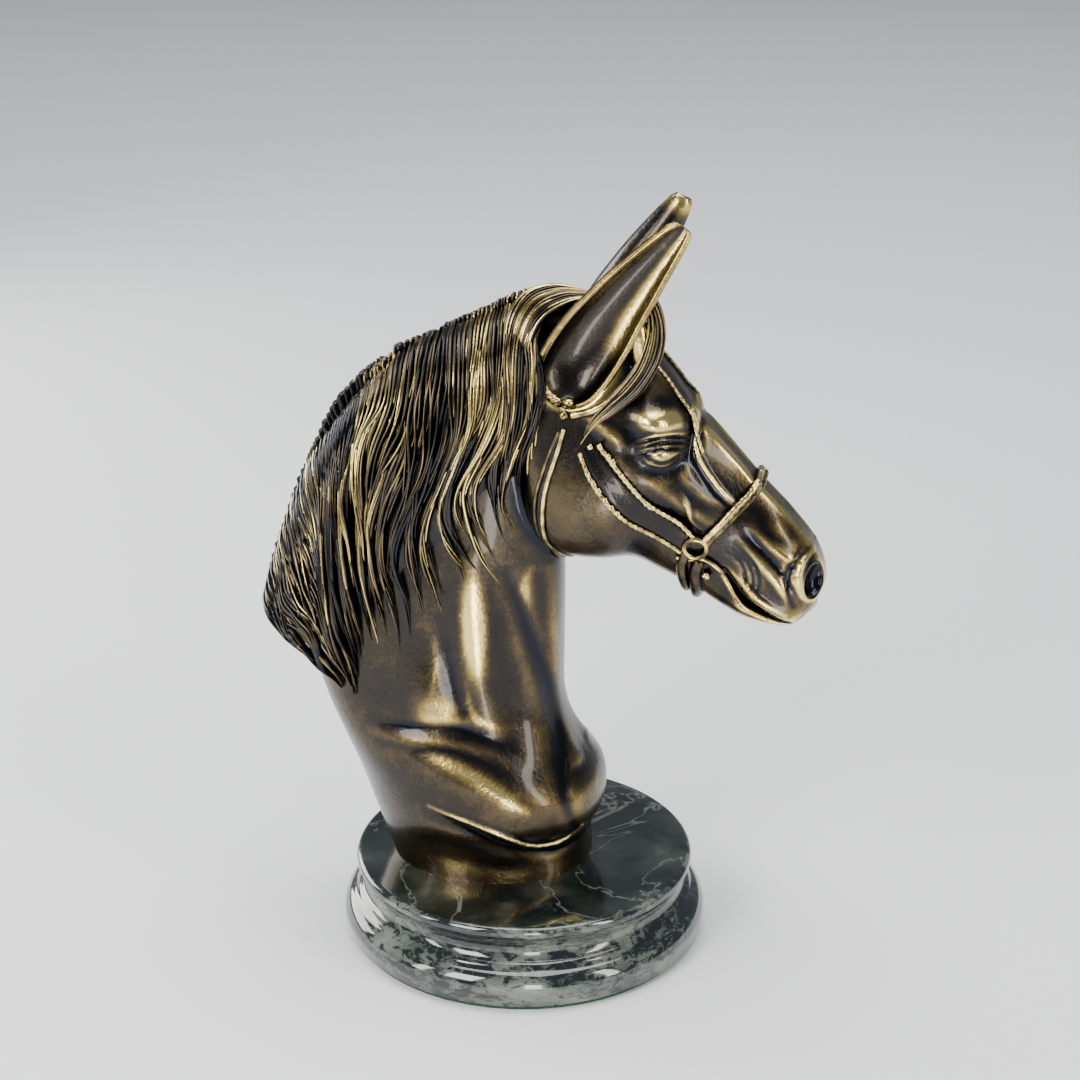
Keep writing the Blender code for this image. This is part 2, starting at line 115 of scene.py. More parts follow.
# How the mane's hair runs, in side view, from the crest to the tips, from the withers to the poll.
FLOW = (
    ((-101, 133), (-95, 130), (-89, 127), (-83, 124), (-77, 120), (-72, 115), (-67, 109)),
    ((-96, 154), (-90, 149), (-85, 142), (-80, 133), (-75, 124), (-70, 115), (-65, 105)),
    ((-87, 178), (-81, 170), (-75, 160), (-71, 147), (-68, 133), (-64, 119), (-60, 104)),
    ((-79, 196), (-74, 185), (-72, 171), (-70, 154), (-68, 136), (-63, 118), (-59, 98)),
    ((-71, 213), (-68, 201), (-68, 186), (-67, 168), (-65, 150), (-61, 131), (-57, 111)),
    ((-59, 227), (-58, 216), (-61, 202), (-63, 185), (-61, 165), (-58, 146), (-54, 122)),
    ((-46, 237), (-46, 223), (-53, 208), (-55, 188), (-53, 168), (-51, 146), (-48, 123)),
    ((-33, 243), (-34, 228), (-37, 209), (-43, 188), (-46, 166), (-41, 145), (-40, 120)),
    ((-22, 249), (-19, 235), (-21, 217), (-27, 198), (-33, 179), (-31, 158), (-28, 136)),
    ((-11, 254), (-11, 241), (-12, 223), (-19, 205), (-24, 184), (-18, 165), (-6, 150)),
    ((-4, 258), (-3, 246), (-3, 229), (-8, 211), (-15, 193), (-11, 174), (-3, 155)),
    ((5, 261), (3, 251), (4, 236), (3, 219), (-2, 203), (-4, 186), (0, 168)),
    ((13, 260), (9, 251), (12, 238), (12, 222), (9, 205), (8, 188), (12, 170)),
)
LOCKS = 8
# The mane's hair lies in layers of clumps: (clumps, strands in each, half width and height of a strand,
# lift off the hair below, shortest, longest).
LAYERS = (
    (24, 6, 1.15, 1.6, -0.4, 0.92, 1.0),
    (18, 6, 1.0, 1.7, 0.7, 0.78, 0.98),
    (14, 6, 0.85, 1.6, 1.8, 0.42, 0.84),
)
# The hair between the ears: its lines nearest the right ear and furthest from it.
POLL_NEAR = ((34, -9, 266), (27, -12, 264), (19, -15, 262), (11, -19, 257), (7, -22, 248), (6, -23, 236))
POLL_FAR = ((26, -2, 264), (19, -3, 265), (11, -5, 266), (3, -9, 264), (-2, -15, 257), (-4, -20, 244))
# The forelock's outer and inner edges.
FORELOCK_OUTER = ((48, -12, 268), (51.5, -12.5, 265), (54, -13, 258), (54.5, -13.5, 250), (52.5, -15, 242),
                  (47.5, -19, 233.5), (39.5, -22.8, 226.8), (31, -24.3, 220.5), (25, -24.0, 212))
FORELOCK_INNER = ((47, -13, 263), (48.5, -14, 259), (48.5, -15, 254), (47, -16.5, 248), (44, -18.5, 241),
                  (39, -21, 234.5), (34, -23, 229), (29.5, -24.0, 222.5), (25, -24.0, 212))

EAR = (
    # (share of the way up, half width, depth, how far round the wall goes in degrees)
    (-0.13, 3.0, 1.6, 95),
    (-0.10, 7.0, 4.2, 100),
    (-0.05, 10.2, 6.8, 102),
    (0.02, 12.2, 8.8, 104),
    (0.10, 12.9, 9.6, 104),
    (0.20, 12.9, 9.6, 102),
    (0.32, 12.2, 9.0, 100),
    (0.45, 10.7, 8.0, 97),
    (0.60, 9.0, 6.8, 94),
    (0.78, 6.6, 5.0, 90),
    (0.90, 4.9, 3.4, 86),
    (0.97, 3.6, 2.2, 82),
    (1.00, 2.0, 1.0, 78),
)
EAR_WALL = 0.95  # half the thickness of an ear
EAR_BEND = 1.5  # how far the middle of an ear bows backwards
EAR_BASES = {RIGHT: 19.5, LEFT: 23.5}
EAR_SIZES = {RIGHT: 1.0, LEFT: 0.86}
EAR_TIPS = {RIGHT: (60.5, -14.5, 293), LEFT: (57.0, 15.5, 297.0)}


def lid_folds():
    """The ridges of the eyelids, each with a groove under it."""
    lines = []
    for down, high in ((0, 0.8), (2.1, 0.7), (4.0, 0.7)):
        low = -high * 0.8
        ridge = ((47.5, 216.5, 0.8, 0.1), (52, 218, 0.9, high), (58, 218, 0.9, high), (64, 216, 0.8, 0.1))
        groove = ((48, 215.3, 0.8, -0.1), (53, 216.9, 0.8, low), (58, 216.9, 0.8, low),
                  (63.5, 215, 0.8, -0.1))
        lines += [[(x, z - down, reach, much) for x, z, reach, much in line] for line in (ridge, groove)]
    return lines


FACE_EDGE = ((54, 243), (62, 231), (66.5, 220), (67, 210), (75, 197), (85, 186))
SHOULDER = ((-54, 97, 0.2), (-38, 96.5, 0.8), (-25, 97, 1.0), (-14, 95.5, 0.9), (-4, 91, 0.5), (4, 85, 0.1))
BREAST = ((-30, 68, 0.2), (-14, 64, 0.6), (0, 58.5, 1.0), (8, 53, 1.2),
          (15, 50.5, 1.2), (22, 51, 1.0), (27, 55, 0.5))

# What is drawn on the side view of a body. A row of numbers is a mound: (x, z, its reach along and across,
# its tilt, its height, how flat its top is). A row of rows is a line through (x, z, reach, height).
FACE_RELIEF = (
    # Cheek, temple and the hollow above the eye.
    (28, 187, 21, 22, 0, 1.8, 3.5),
    (44, 232, 6, 5, 40, -2.0),
    ((43, 214, 3, 0.4), (36, 219, 3.5, 1.3), (28, 223, 3, 0.4)),
    # The ridge of the brow, the folds of the lid and the ball of the eye.
    ((45, 224, 5, -0.2), (44, 215, 5, -1.0), (49, 206, 4.5, -1.0),
     (58, 204, 4, -0.9), (65, 210, 3.5, -1.2), (66.5, 219, 3, -1.2)),
    (55, 222.5, 8.4, 4.4, -10, 3.6, 2.6),
    *lid_folds(),
    (56.5, 210.8, 4.6, 3.0, 0, 2.4, 3),
    ((49, 210, 1.0, 0.2), (52, 207.6, 1.0, 0.8), (57, 206.6, 1.0, 0.9), (62, 208.5, 1.0, 0.2)),
    # The edges of the face's flat front, and the bone below the eye.
    [(x, z, 0.9, 0.8 if x < 80 else 0.05) for x, z in FACE_EDGE],
    [(x - 2.4, z - 1.6, 2.2, -0.6 if x < 80 else -0.05) for x, z in FACE_EDGE],
    ((68, 221, 0.9, 0.1), (75, 211.5, 0.9, 0.35), (83, 202, 0.9, 0.35), (90, 193, 0.9, 0.1)),
    ((47, 207, 4, 0.2), (55, 198, 4, 0.9), (66, 188, 4, 1.0), (76, 181, 3, 0.2)),
    ((61, 203, 1.2, 0.1), (66, 197, 1.2, 0.3), (72, 192, 1.2, 0.35), (81, 187, 1.2, 0.1)),
    ((62, 196, 0.9, 0.1), (65, 190, 0.9, 0.5), (66, 184, 0.9, 0.5), (70, 180, 0.8, 0.1)),
    (60, 184, 8, 4, -45, -1.2),
    # The muscles that fan from the nose to the lips.
    ((86, 184, 3, 0.3), (94, 176, 3, 1.2), (103, 170, 2.5, 0.9), (107, 168, 2, 0.2)),
    ((84, 176, 2.4, 0.2), (92, 168, 2.6, 0.9), (99, 160, 2.6, 0.8), (103, 154, 2, 0.2)),
    ((88, 177, 2, -0.2), (96, 169, 2.0, -0.7), (102, 162, 1.8, -0.7), (105, 156, 1.5, -0.2)),
    (96, 181, 5, 4, -45, 0.9),
    *(
        ((79 + out, 171 + out * 0.4, 1.0, -0.1), (84 + out, 168, 1.0, -0.5),
         (86.5 + out, 162, 1.0, -0.5), (86 + out, 157, 1.0, -0.1))
        for out in (0, 2.6, 5.0)
    ),
    # Lips and chin.
    ((78.5, 163.5, 1.2, -1.0), (81.5, 159, 1.6, -3.6), (86, 152.5, 2.0, -5.0),
     (91, 148.5, 2.0, -5.0), (98, 145, 1.6, -2.6), (103, 143.5, 1.2, -1.2)),
    ((84, 162, 1.8, 0.2), (88.5, 156, 2.2, 1.2), (94, 151.5, 2.4, 1.2), (101, 148, 2.0, 0.4)),
    (84, 148.5, 4.5, 3.6, -35, 1.4),
    (103, 148, 5, 5, 0, 1.0),
    # The nostril's rim and the fold behind it.
    ((111, 172, 1.3, 0.2), (107.6, 169, 1.4, 1.1), (106.4, 162.5, 1.4, 1.3),
     (108, 156, 1.3, 0.5), (112, 152.5, 1.2, 0.1)),
    ((106, 173, 1.5, -0.2), (102.5, 166, 1.8, -1.0), (102, 159, 1.6, -0.8), (104.5, 152, 1.4, -0.2)),
)
NECK_RELIEF = (
    # The windpipe, the groove beside it and the long muscle behind that.
    ((-2, 160, 4.0, -0.4), (4, 138, 4.2, -1.2), (11, 110, 3.8, -1.5),
     (17, 86, 3.2, -1.0), (22, 68, 2.6, -0.5), (25, 54, 2.0, -0.2)),
    ((-15, 164, 7, 0.8), (-13.5, 140, 8, 2.0), (-11, 117, 8, 1.8), (-5, 100, 7, 0.6)),
    ((13, 158, 4, 0.4), (15, 130, 4, 1.2), (18, 100, 4, 1.2), (24, 80, 3.5, 1.0)),
    ((-27, 140, 5, -0.3), (-23, 122, 5, -0.9), (-19, 106, 4, -0.4)),
    (-33, 112, 8, 12, 0, 1.0),
    # The shoulder, whose upper edge stands out of the neck.
    [(x, z - 3.2, 2.8, 0.7 * much) for x, z, much in SHOULDER],
    [(x, z + 2.2, 2.8, -0.6 * much) for x, z, much in SHOULDER],
    (-16, 81, 24, 8, -16, 1.8, 2.4),
    # The breast's lower edge over the plain foot.
    [(x, z, 1.3, 1.4 * much) for x, z, much in BREAST],
    [(x - 0.5, z - 4.5, 3.2, -1.2 * much) for x, z, much in BREAST],
    (6, 66, 12, 13, 0, 1.3, 2.6),
)
# Where the bronze is rubbed back to bright metal, and painted highlights: gold drawn where the lamps'
# reflections fall on the neck, the shoulder and the breast.
NECK_WEAR_AND_PAINTED_LIGHT = (
    # Painted highlights on the long muscle of the neck and on the top of the shoulder.
    (-14, 138, 5.0, 20, 3, 0.62, 4),
    (-27, 104, 9, 7, -10, 0.44, 4),
    ((-30, 112, 1.6, 0.1), (-28, 122, 1.4, 0.3), (-29, 134, 1.2, 0.1)),
    ((-17, 116, 1.2, 0.1), (-14, 104, 1.8, 0.4), (-8, 100, 2.0, 0.35), (-2, 98, 1.5, 0.1)),
    ((-30, 89, 2.4, 0.12), (-18, 85, 3.0, 0.5), (-8, 80, 3.4, 0.6), (2, 74, 2.8, 0.55), (9, 68, 1.6, 0.2)),
    ((-20, 66, 1.0, 0.10), (-8, 62, 1.2, 0.4), (2, 57, 1.3, 0.5),
     (9, 52.5, 1.4, 0.6), (16, 51, 1.6, 0.6), (24, 53, 1.6, 0.5)),
    ((15, 134, 2.5, 0.05), (19, 108, 2.5, 0.4), (22, 88, 2.5, 0.3)),
    ((6, 160, 2.0, 0.2), (4, 152, 2.6, 0.42), (6, 144, 1.6, 0.1)),
    (27, 66, 5, 5, 60, 0.2),
    # Painted light: the shaded foot of the neck is drawn lighter.
    (-12, 42, 40, 8, 0, 0.20, 4),
    (-20, 40, 14, 2.5, -6, 0.16),
)
# The same on the face: rubbed edges and rims, darker along the mouth, and painted highlight and painted shade
# at the eye.
FACE_WEAR_AND_PAINTED_LIGHT = (
    # Painted highlight on the brow.
    (55, 224, 7.5, 3.0, -6, 0.42, 3),
    # Painted shade: the ball of the eye is drawn darker.
    (57, 209.5, 6.5, 4.5, 0, -0.32),
    (29, 187, 15, 16, 0, 0.07, 3),
    [(x, z, 1.2, much) for (x, z), much in zip(FACE_EDGE, (0.3, 0.35, 0.35, 0.3, 0.3, 0.1))],
    ((106.8, 168, 1.6, 0.3), (105.2, 162, 1.8, 0.5), (107.5, 156, 1.6, 0.25)),
    ((92, 168, 2.0, 0.1), (98, 161, 2.2, 0.3), (102, 155, 2, 0.15)),
    ((98, 178, 3, 0.1), (106, 172, 3, 0.2)),
    ((93, 146, 1.6, 0.1), (102, 144.5, 1.8, 0.3), (108, 148, 1.8, 0.2)),
    ((78, 161, 2.4, -0.1), (82, 153, 3.2, -0.45), (88, 147, 3.2, -0.45), (95, 143.5, 2.0, -0.15)),
)

# The bridle's lines on one side of the head are rows of (x, y, z), with y counted outwards.
CROWN = ((7, 13, 255), (6.5, 17, 248), (8, 20, 240), (11.5, 22, 233.5), (17.5, 22.5, 228))
NOSE = ((70.5, 18, 173.5), (75, 17, 179.5), (81, 15, 186.5),
        (87, 13, 192.5), (90.5, 8, 197), (91.5, 0, 198.3))
# What the piece is called that stands for each strap, and its cords: (line, radius, lift off the skin,
# brightness, depth of the beads, their pitch).
PIECES = {
    "browband": "brow_cords",
    "throatlatch": "throat_strap",
    "noseband": "nose_rope",
    "chin_strap": "chin_straps",
}
CORDS = {
    "browband": (
        (((22, 23.5, 224), (30, 24, 226.5), (39, 22, 232.5), (46, 16, 240), (49.5, 8, 243),
          (50.5, 0, 244)), 1.5, 0.7, 0.8),
        (((46, 8, 247), (54, 9.5, 240), (60, 10.5, 231.5), (65, 11, 223), (67, 11.5, 214.5),
          (68.5, 11.5, 208)), 0.85, 0.35, 1.0, 0.12, 2.4),
    ),
    "throatlatch": (
        (((20, 22.5, 219), (18, 23.5, 210), (15.2, 23, 198), (14.2, 22, 187), (14.2, 20, 177),
          (16.5, 16, 168), (20, 8, 161), (21, 0, 158.5)), 0.95, 0.6, 1.0),
        (((18.3, 22.5, 218), (15, 23, 209), (12.2, 22.5, 197), (11, 21.5, 187), (11.2, 19.5, 177),
          (13.2, 16, 168), (16, 8, 162), (17, 0, 160)), 0.8, 0.5, 0.5),
        (((19.3, 22.5, 218), (16.5, 23.3, 209), (13.7, 22.8, 197), (12.6, 22, 187), (12.7, 20, 177),
          (15, 16, 168), (18, 8, 161.5), (19, 0, 159)), 1.2, 0.0, 0.15),
    ),
    "noseband": (
        ([(x - 0.6, y, z + 0.75) for x, y, z in NOSE], 1.35, 1.3, 1.1, 0.05, 3.1),
        ([(x + 0.54, y, z - 0.675) for x, y, z in NOSE], 1.35, 1.3, 0.5, 0.05, 3.1),
    ),
    "chin_strap": (
        (((64.5, 17, 170), (62.5, 15.5, 164), (62.5, 12, 158.5), (64, 6, 154.8), (64.5, 0, 153.8)),
         2.1, 1.2, 0.4),
        (((69.5, 16, 167), (67.5, 14.5, 162), (67.5, 11, 157), (68.5, 5, 153), (69, 0, 152)), 2.3, 1.3, 0.35),
        (((60.5, 16, 167.5), (65, 16.5, 166.5), (70, 15.5, 167.5), (74.5, 14.5, 165.5), (78, 13, 162.5)),
         1.0, 1.0, 0.9),
    ),
}
CHEEK_UPPER = ((33, 24.5, 214), (39, 26, 206.5), (44.5, 26, 199.5), (50, 26, 193),
               (56, 24, 187.5), (63, 20.5, 181.5), (68, 18, 175.5))
CHEEK_LOWER = ((26, 24.5, 211), (30, 26, 202), (34.5, 26.5, 195), (40, 26.5, 188.5),
               (47, 25, 182), (55, 21, 176), (63, 17, 169.5))
# Studs of the bridle: (place, radius, lift, brightness) at the crown and the chin, (x, z) on the cheekpiece.
CROWN_STUDS = (
    ((21.0, 22, 227.5), 2.6, 2.0, 1.1),
    ((19.8, 22, 223.4), 2.1, 1.4, 0.6),
    ((17.6, 22, 228.6), 1.8, 1.4, 0.6),
)
CHIN_STUD = ((71.5, 14, 160.5), 1.9, 1.6, 0.9)
CHEEK_STUDS = {
    "upper": ((30.0, 213.5), (33.5, 214.0), (36.5, 210.5), (38.2, 208.6), (31.4, 200.2), (33.2, 197.6)),
    "lower": ((52.3, 190.6), (50.6, 192.3), (39.6, 189.4), (37.6, 191.6), (35.4, 194.3)),
}
BIT = (67.8, 17, 172.5)
# A strap's section: how far it stands off the skin, as shares of its thickness, across its width.
STRAP_SHARES = np.array((0, 0.02, 0.08, 0.2, 0.35, 0.5, 0.65, 0.8, 0.92, 0.98, 1))
STRAP_LIFTS = np.array((-0.9, 0.3, 0.8, 1, 0.92, 0.85, 0.92, 1, 0.8, 0.3, -0.9))
TURN = np.linspace(0, 2 * np.pi, 12, endpoint=False)
# The outline of a round cord, which is only rubbed bright on its outer side: (across, up, brightness).
ROUND = np.array([(math.cos(a), math.sin(a), 0.1 + 0.9 * max(math.sin(a), 0) ** 0.7) for a in TURN])

# Each lamp: (name, place, what it is aimed at, its size, its power, its colour).
MIDDLE = (0, 0, 0.15)
LAMPS = (
    ("top", (0.1, 0.2, 2.2), MIDDLE, (1.6, 1.6), 60, (1, 1, 1)),
    ("key", (-0.55, -1.0, 0.8), MIDDLE, (0.40, 0.7), 17, (1.0, 0.98, 0.94)),
    ("strip", (0.9, -0.45, 0.5), MIDDLE, (0.15, 0.8), 6, (1.0, 0.95, 0.86)),
    ("low", (0.10, -0.36, 0.03), (0, 0, 0.12), (0.06, 0.22), 0.70, (1.0, 0.98, 0.92)),
    ("left", (-0.75, -0.55, 0.42), (0.03, 0, 0.25), (0.12, 0.5), 3, (1.0, 0.97, 0.9)),
    ("back", (-0.9, 0.45, 0.34), (0, 0, 0.22), (0.6, 0.45), 9, (1.0, 0.98, 0.92)),
)
FLOOR_REACH = 9000
CAMERA_DISTANCE = 0.85  # metres from the plinth's axis, in plan
CAMERA_HEIGHT = 0.508
CAMERA_BEARING = 11  # degrees forward of the horse's side
CAMERA_PITCH = 22.0036  # degrees down
CAMERA_TURN = 0.00746573  # radians to the right of the axis
FITTINGS = ("mounting_stud", "stud_nut", "stud_washer", "anchor_bar", "bar_nut_lower", "bar_nut_upper")


def smooth_path(rows, count):
    """Rows of numbers read along a Catmull-Rom curve through them, at that many even places."""
    rows = np.asarray(rows, float)
    padded = np.vstack([rows[:1], rows, rows[-1:]])
    at = np.linspace(0, len(rows) - 1, count)
    k = np.minimum(at.astype(int), len(rows) - 2)
    t = (at - k)[:, None]
    a, b, c, d = (padded[k + i] for i in range(4))
    bend = 2 * a - 5 * b + 4 * c - d
    twist = 3 * b - a - 3 * c + d
    return 0.5 * (2 * b + t * (c - a) + t * t * bend + t**3 * twist)


def rise(low, high, x):
    """0 below low, 1 above high and smooth between."""
    t = np.clip((x - low) / (high - low), 0, 1)
    return t * t * (3 - 2 * t)


def soft_min(a, b, blend):
    """The smaller of two distances, with the crease between them filled over that many millimetres."""
    h = np.clip(0.5 + 0.5 * (b - a) / blend, 0, 1)
    return b * (1 - h) + a * h - blend * h * (1 - h)


def unit(vectors):
    """The directions of rows of vectors."""
    return vectors / (np.linalg.norm(vectors, axis=1)[:, None] + 1e-9)


def from_line(x, z, start, end):
    """How far along a line the nearest point to each (x, z) is, as a share, and how far away it is."""
    dx, dz = end[0] - start[0], end[1] - start[1]
    t = np.clip(((x - start[0]) * dx + (z - start[1]) * dz) / (dx * dx + dz * dz + 1e-9), 0, 1)
    return t, np.hypot(x - start[0] - dx * t, z - start[1] - dz * t)


def between(table, u, v):
    """What a table holds at places between its rows and columns."""
    i, j = u.astype(int), v.astype(int)
    f, g = u - i, v - j
    if table.ndim > 2:
        f, g = f[..., None], g[..., None]
    near = table[i, j] * (1 - g) + table[i, j + 1] * g
    far = table[i + 1, j] * (1 - g) + table[i + 1, j + 1] * g
    return near * (1 - f) + far * f


def gone_along(path):
    """The distance from the start of a path to each of its points."""
    return np.concatenate([[0], np.cumsum(np.linalg.norm(np.diff(path, axis=0), axis=1))])


def oval_ring(station, points=150):
    """The section of the neck or the mane at a station."""
    x0, z0, x1, z1, half, widest = station
    a = np.linspace(0, 2 * np.pi, points, endpoint=False)
    share = (0.5 - 0.5 * np.cos(a)) ** (math.log(widest) / math.log(0.5))
    width = np.sign(np.sin(a)) * np.abs(np.sin(a)) ** 0.85 * half
    return np.stack([x0 + (x1 - x0) * share, width, z0 + (z1 - z0) * share], 1)


def head_ring(station, points=70):
    """The section of the head at a station."""
    x0, z0, x1, z1, front = station[:5]
    under = station[10]
    outline = [(0, 0), (0, front * 0.75), (0.03, front)]
    outline += [(share, width) for share, width in zip(SHARES, station[5:10])]
    outline += [(0.99, under), (1, under * 0.6), (1, 0)]
    half = smooth_path(outline, points)
    ring = np.vstack([half, half[-2:0:-1] * (1, -1)])
    share = np.clip(ring[:, 0], 0, 1)
    return np.stack([x0 + (x1 - x0) * share, ring[:, 1], z0 + (z1 - z0) * share], 1)


def tube_quads(rings, points, first=0):
    """The faces between successive rings, whose points are numbered from first."""
    k = np.arange(points)
    after = (k + 1) % points
    starts = first + np.arange(rings - 1) * points
    return np.vstack([np.stack([s + k, s + after, s + points + after, s + points + k], 1) for s in starts])


def skinned(rings):
    """Points and quads of a closed tube through rings of equal length."""
    rings = np.asarray(rings)
    count, points = rings.shape[:2]
    ends = [np.repeat(ring.mean(0)[None], points, 0)[None] for ring in (rings[0], rings[-1])]
    whole = np.concatenate([ends[0], rings, ends[1]])
    return whole.reshape(-1, 3), tube_quads(count + 2, points)


def lofted(stations, ring, count):
    """A closed tube through the sections at that many places along a row of stations."""
    return skinned([ring(station) for station in smooth_path(stations, count)])


class Clay:
    """A solid kept as distances from its surface, in millimetres, on a regular grid: negative inside."""

    def __init__(self, low, high, step):
        self.step = step
        self.first = np.floor(np.array(low) / step).astype(int)
        self.shape = tuple(np.ceil(np.array(high) / step).astype(int) - self.first + 1)
        self.field = np.full(self.shape, BAND, np.float32)
        lines = [(self.first[i] + np.arange(self.shape[i])) * step for i in range(3)]
        self.x = lines[0][:, None, None].astype(np.float32)
        self.y = lines[1][None, :, None].astype(np.float32)
        self.z = lines[2][None, None, :].astype(np.float32)

    def distances(self, points, quads):
        """The distance of each place of the grid from a closed mesh."""
        grid = openvdb.FloatGrid.createLevelSetFromPolygons(
            points.astype(np.float32),
            quads=quads.astype(np.uint32),
            transform=openvdb.createLinearTransform(voxelSize=self.step),
            halfWidth=BAND / self.step,
        )
        found = np.empty(self.shape, np.float32)
        grid.copyToArray(found, ijk=tuple(int(i) for i in self.first))
        return found

    def add(self, field, blend):
        """Joins what lies inside another field on."""
        self.field = soft_min(self.field, field, blend)

    def carve(self, field, blend):
        """Takes away what lies inside another field."""
        self.field = -soft_min(-self.field, field, blend)

    def near(self, centre, reach):
        """The slices of the grid within reach of a point."""
        at = np.array(centre) / self.step - self.first
        low = np.clip(np.floor(at - reach / self.step).astype(int), 0, self.shape)
        high = np.clip(np.ceil(at + reach / self.step).astype(int) + 1, 0, self.shape)
        return tuple(slice(a, b) for a, b in zip(low, high))

    def ellipsoid(self, centre, radii, tilt, blend, hollow=False, sides=(RIGHT, LEFT)):
        """Adds or carves an ellipsoid, turned by tilt degrees in side view, on both sides of the head."""
        for side in sides:
            middle = (centre[0], centre[1] * side, centre[2])
            i, j, k = self.near(middle, max(radii) * 1.5 + 3 * blend)
            dx, dy, dz = self.x[i] - middle[0], self.y[:, j] - middle[1], self.z[:, :, k] - middle[2]
            c, s = math.cos(math.radians(tilt)), math.sin(math.radians(tilt))
            a, b, d = (dx * c + dz * s) / radii[0], dy / radii[1], (dz * c - dx * s) / radii[2]
            reach = np.sqrt(a * a + b * b + d * d) + 1e-6
            steep = np.sqrt((a / radii[0]) ** 2 + (b / radii[1]) ** 2 + (d / radii[2]) ** 2) + 1e-6
            shape = reach * (reach - 1) / steep
            old = self.field[i, j, k]
            self.field[i, j, k] = -soft_min(-old, shape, blend) if hollow else soft_min(old, shape, blend)
            if centre[1] == 0:
                return

    def blurred(self, reach, field=None):
        """A field averaged over a small cube."""
        n = max(1, int(round(reach / self.step)))
        found = self.field if field is None else field
        for axis in range(3):
            pad = [(0, 0)] * 3
            pad[axis] = (n + 1, n)
            run = np.cumsum(np.pad(found, pad, mode="edge"), axis=axis, dtype=np.float64)
            size = found.shape[axis]
            upper = np.take(run, np.arange(2 * n + 1, 2 * n + 1 + size), axis=axis)
            lower = np.take(run, np.arange(0, size), axis=axis)
            found = ((upper - lower) / (2 * n + 1)).astype(np.float32)
        return found

    def softened(self, reach):
        """The same solid with its small detail smoothed away."""
        made = copy.copy(self)
        made.field = self.blurred(reach)
        return made

    def read(self, field, points):
        """A field of the grid read at points, between its samples."""
        at = np.clip(points / self.step - self.first, 0, np.array(self.shape) - 1.001)
        base = at.astype(int)
        f = at - base
        found = np.zeros(len(points))
        for corner in range(8):
            o = np.array([corner & 1, corner >> 1 & 1, corner >> 2 & 1])
            share = np.prod(np.where(o, f, 1 - f), axis=1)
            found += share * field[tuple((base + o).T)]
        return found

    def facing(self, points):
        """The direction straight out of the surface near each point."""
        slopes = [
            self.read(self.field, points + step) - self.read(self.field, points - step)
            for step in np.eye(3) * self.step
        ]
        return unit(np.stack(slopes, 1))

    def worn(self, points, reach, gain):
        """How far each point stands out of what is round it: 0 in a hollow, 1 on an edge."""
        return self.read(self.blurred(reach) - self.field, points) * gain

    def surface(self):
        """Points and quads of the solid's skin."""
        grid = openvdb.FloatGrid(float(BAND))
        grid.copyFromArray(self.field)
        points, quads = grid.convertToQuads(0.0)
        points = (points.astype(float) + self.first) * self.step
        return points, quads[:, ::-1]


class Profile:
    """How far a solid reaches to one side at each (x, z) of its grid."""

    def __init__(self, clay, side):
        self.step = clay.step
        self.first = clay.first[[0, 2]]
        way = -1 if side > 0 else 1
        field, y = clay.field[:, ::way], clay.y[0, ::way, 0]
        inside = field < 0
        first = inside.argmax(1)
        i, k = np.indices(first.shape)
        before = np.maximum(first - 1, 0)
        a, b = field[i, before, k], field[i, first, k]
        share = np.where(first > 0, a / np.maximum(a - b, 1e-6), 1)
        height = np.abs(y[before] + (y[first] - y[before]) * share)
        self.height = np.where(inside.any(1), height, 0)

    def at(self, spot):
        at = np.clip(spot / self.step - self.first, 0, np.array(self.height.shape) - 1.001)
        return between(self.height, at[:, 0], at[:, 1])


class Relief:
    """Height that is added to both sides of a body, drawn on its side view."""

    def __init__(self, clay, rows):
        self.x = clay.x[:, 0, :]
        self.z = clay.z[0]
        self.height = np.zeros((clay.shape[0], clay.shape[2]), np.float32)
        for row in rows:
            if isinstance(row[0], tuple):
                self.line(row)
            else:
                self.mound(*row)

    def line(self, rows):
        """A ridge or groove through rows of (x, z, reach, height)."""
        path = smooth_path(rows, len(rows) * 7)
        best = np.zeros_like(self.height)
        for start, end in zip(path, path[1:]):
            t, away = from_line(self.x, self.z, start, end)
            away = away / (start[2] + (end[2] - start[2]) * t)
            bump = (start[3] + (end[3] - start[3]) * t) * np.exp(-1.6 * away * away)
            best = np.where(np.abs(bump) > np.abs(best), bump, best)
        self.height += best

    def mound(self, x, z, reach_x, reach_z, tilt, height, flat=2.0):
        """A smooth swelling or hollow; a higher flat makes its top flatter and its edge steeper."""
        c, s = math.cos(math.radians(tilt)), math.sin(math.radians(tilt))
        a = ((self.x - x) * c + (self.z - z) * s) / reach_x
        b = ((self.z - z) * c - (self.x - x) * s) / reach_z
        self.height += height * np.exp(-((a * a + b * b) ** (flat / 2)))

    def read(self, points):
        """The height drawn at each point's side view."""
        step = self.x[1, 0] - self.x[0, 0]
        at = np.stack([(points[:, 0] - self.x[0, 0]), (points[:, 2] - self.z[0, 0])], 1) / step
        at = np.clip(np.round(at).astype(int), 0, np.array(self.height.shape) - 1)
        return self.height[at[:, 0], at[:, 1]]


def new_object(name, data):
    made = bpy.data.objects.new(name, data)
    bpy.context.scene.collection.objects.link(made)
    return made


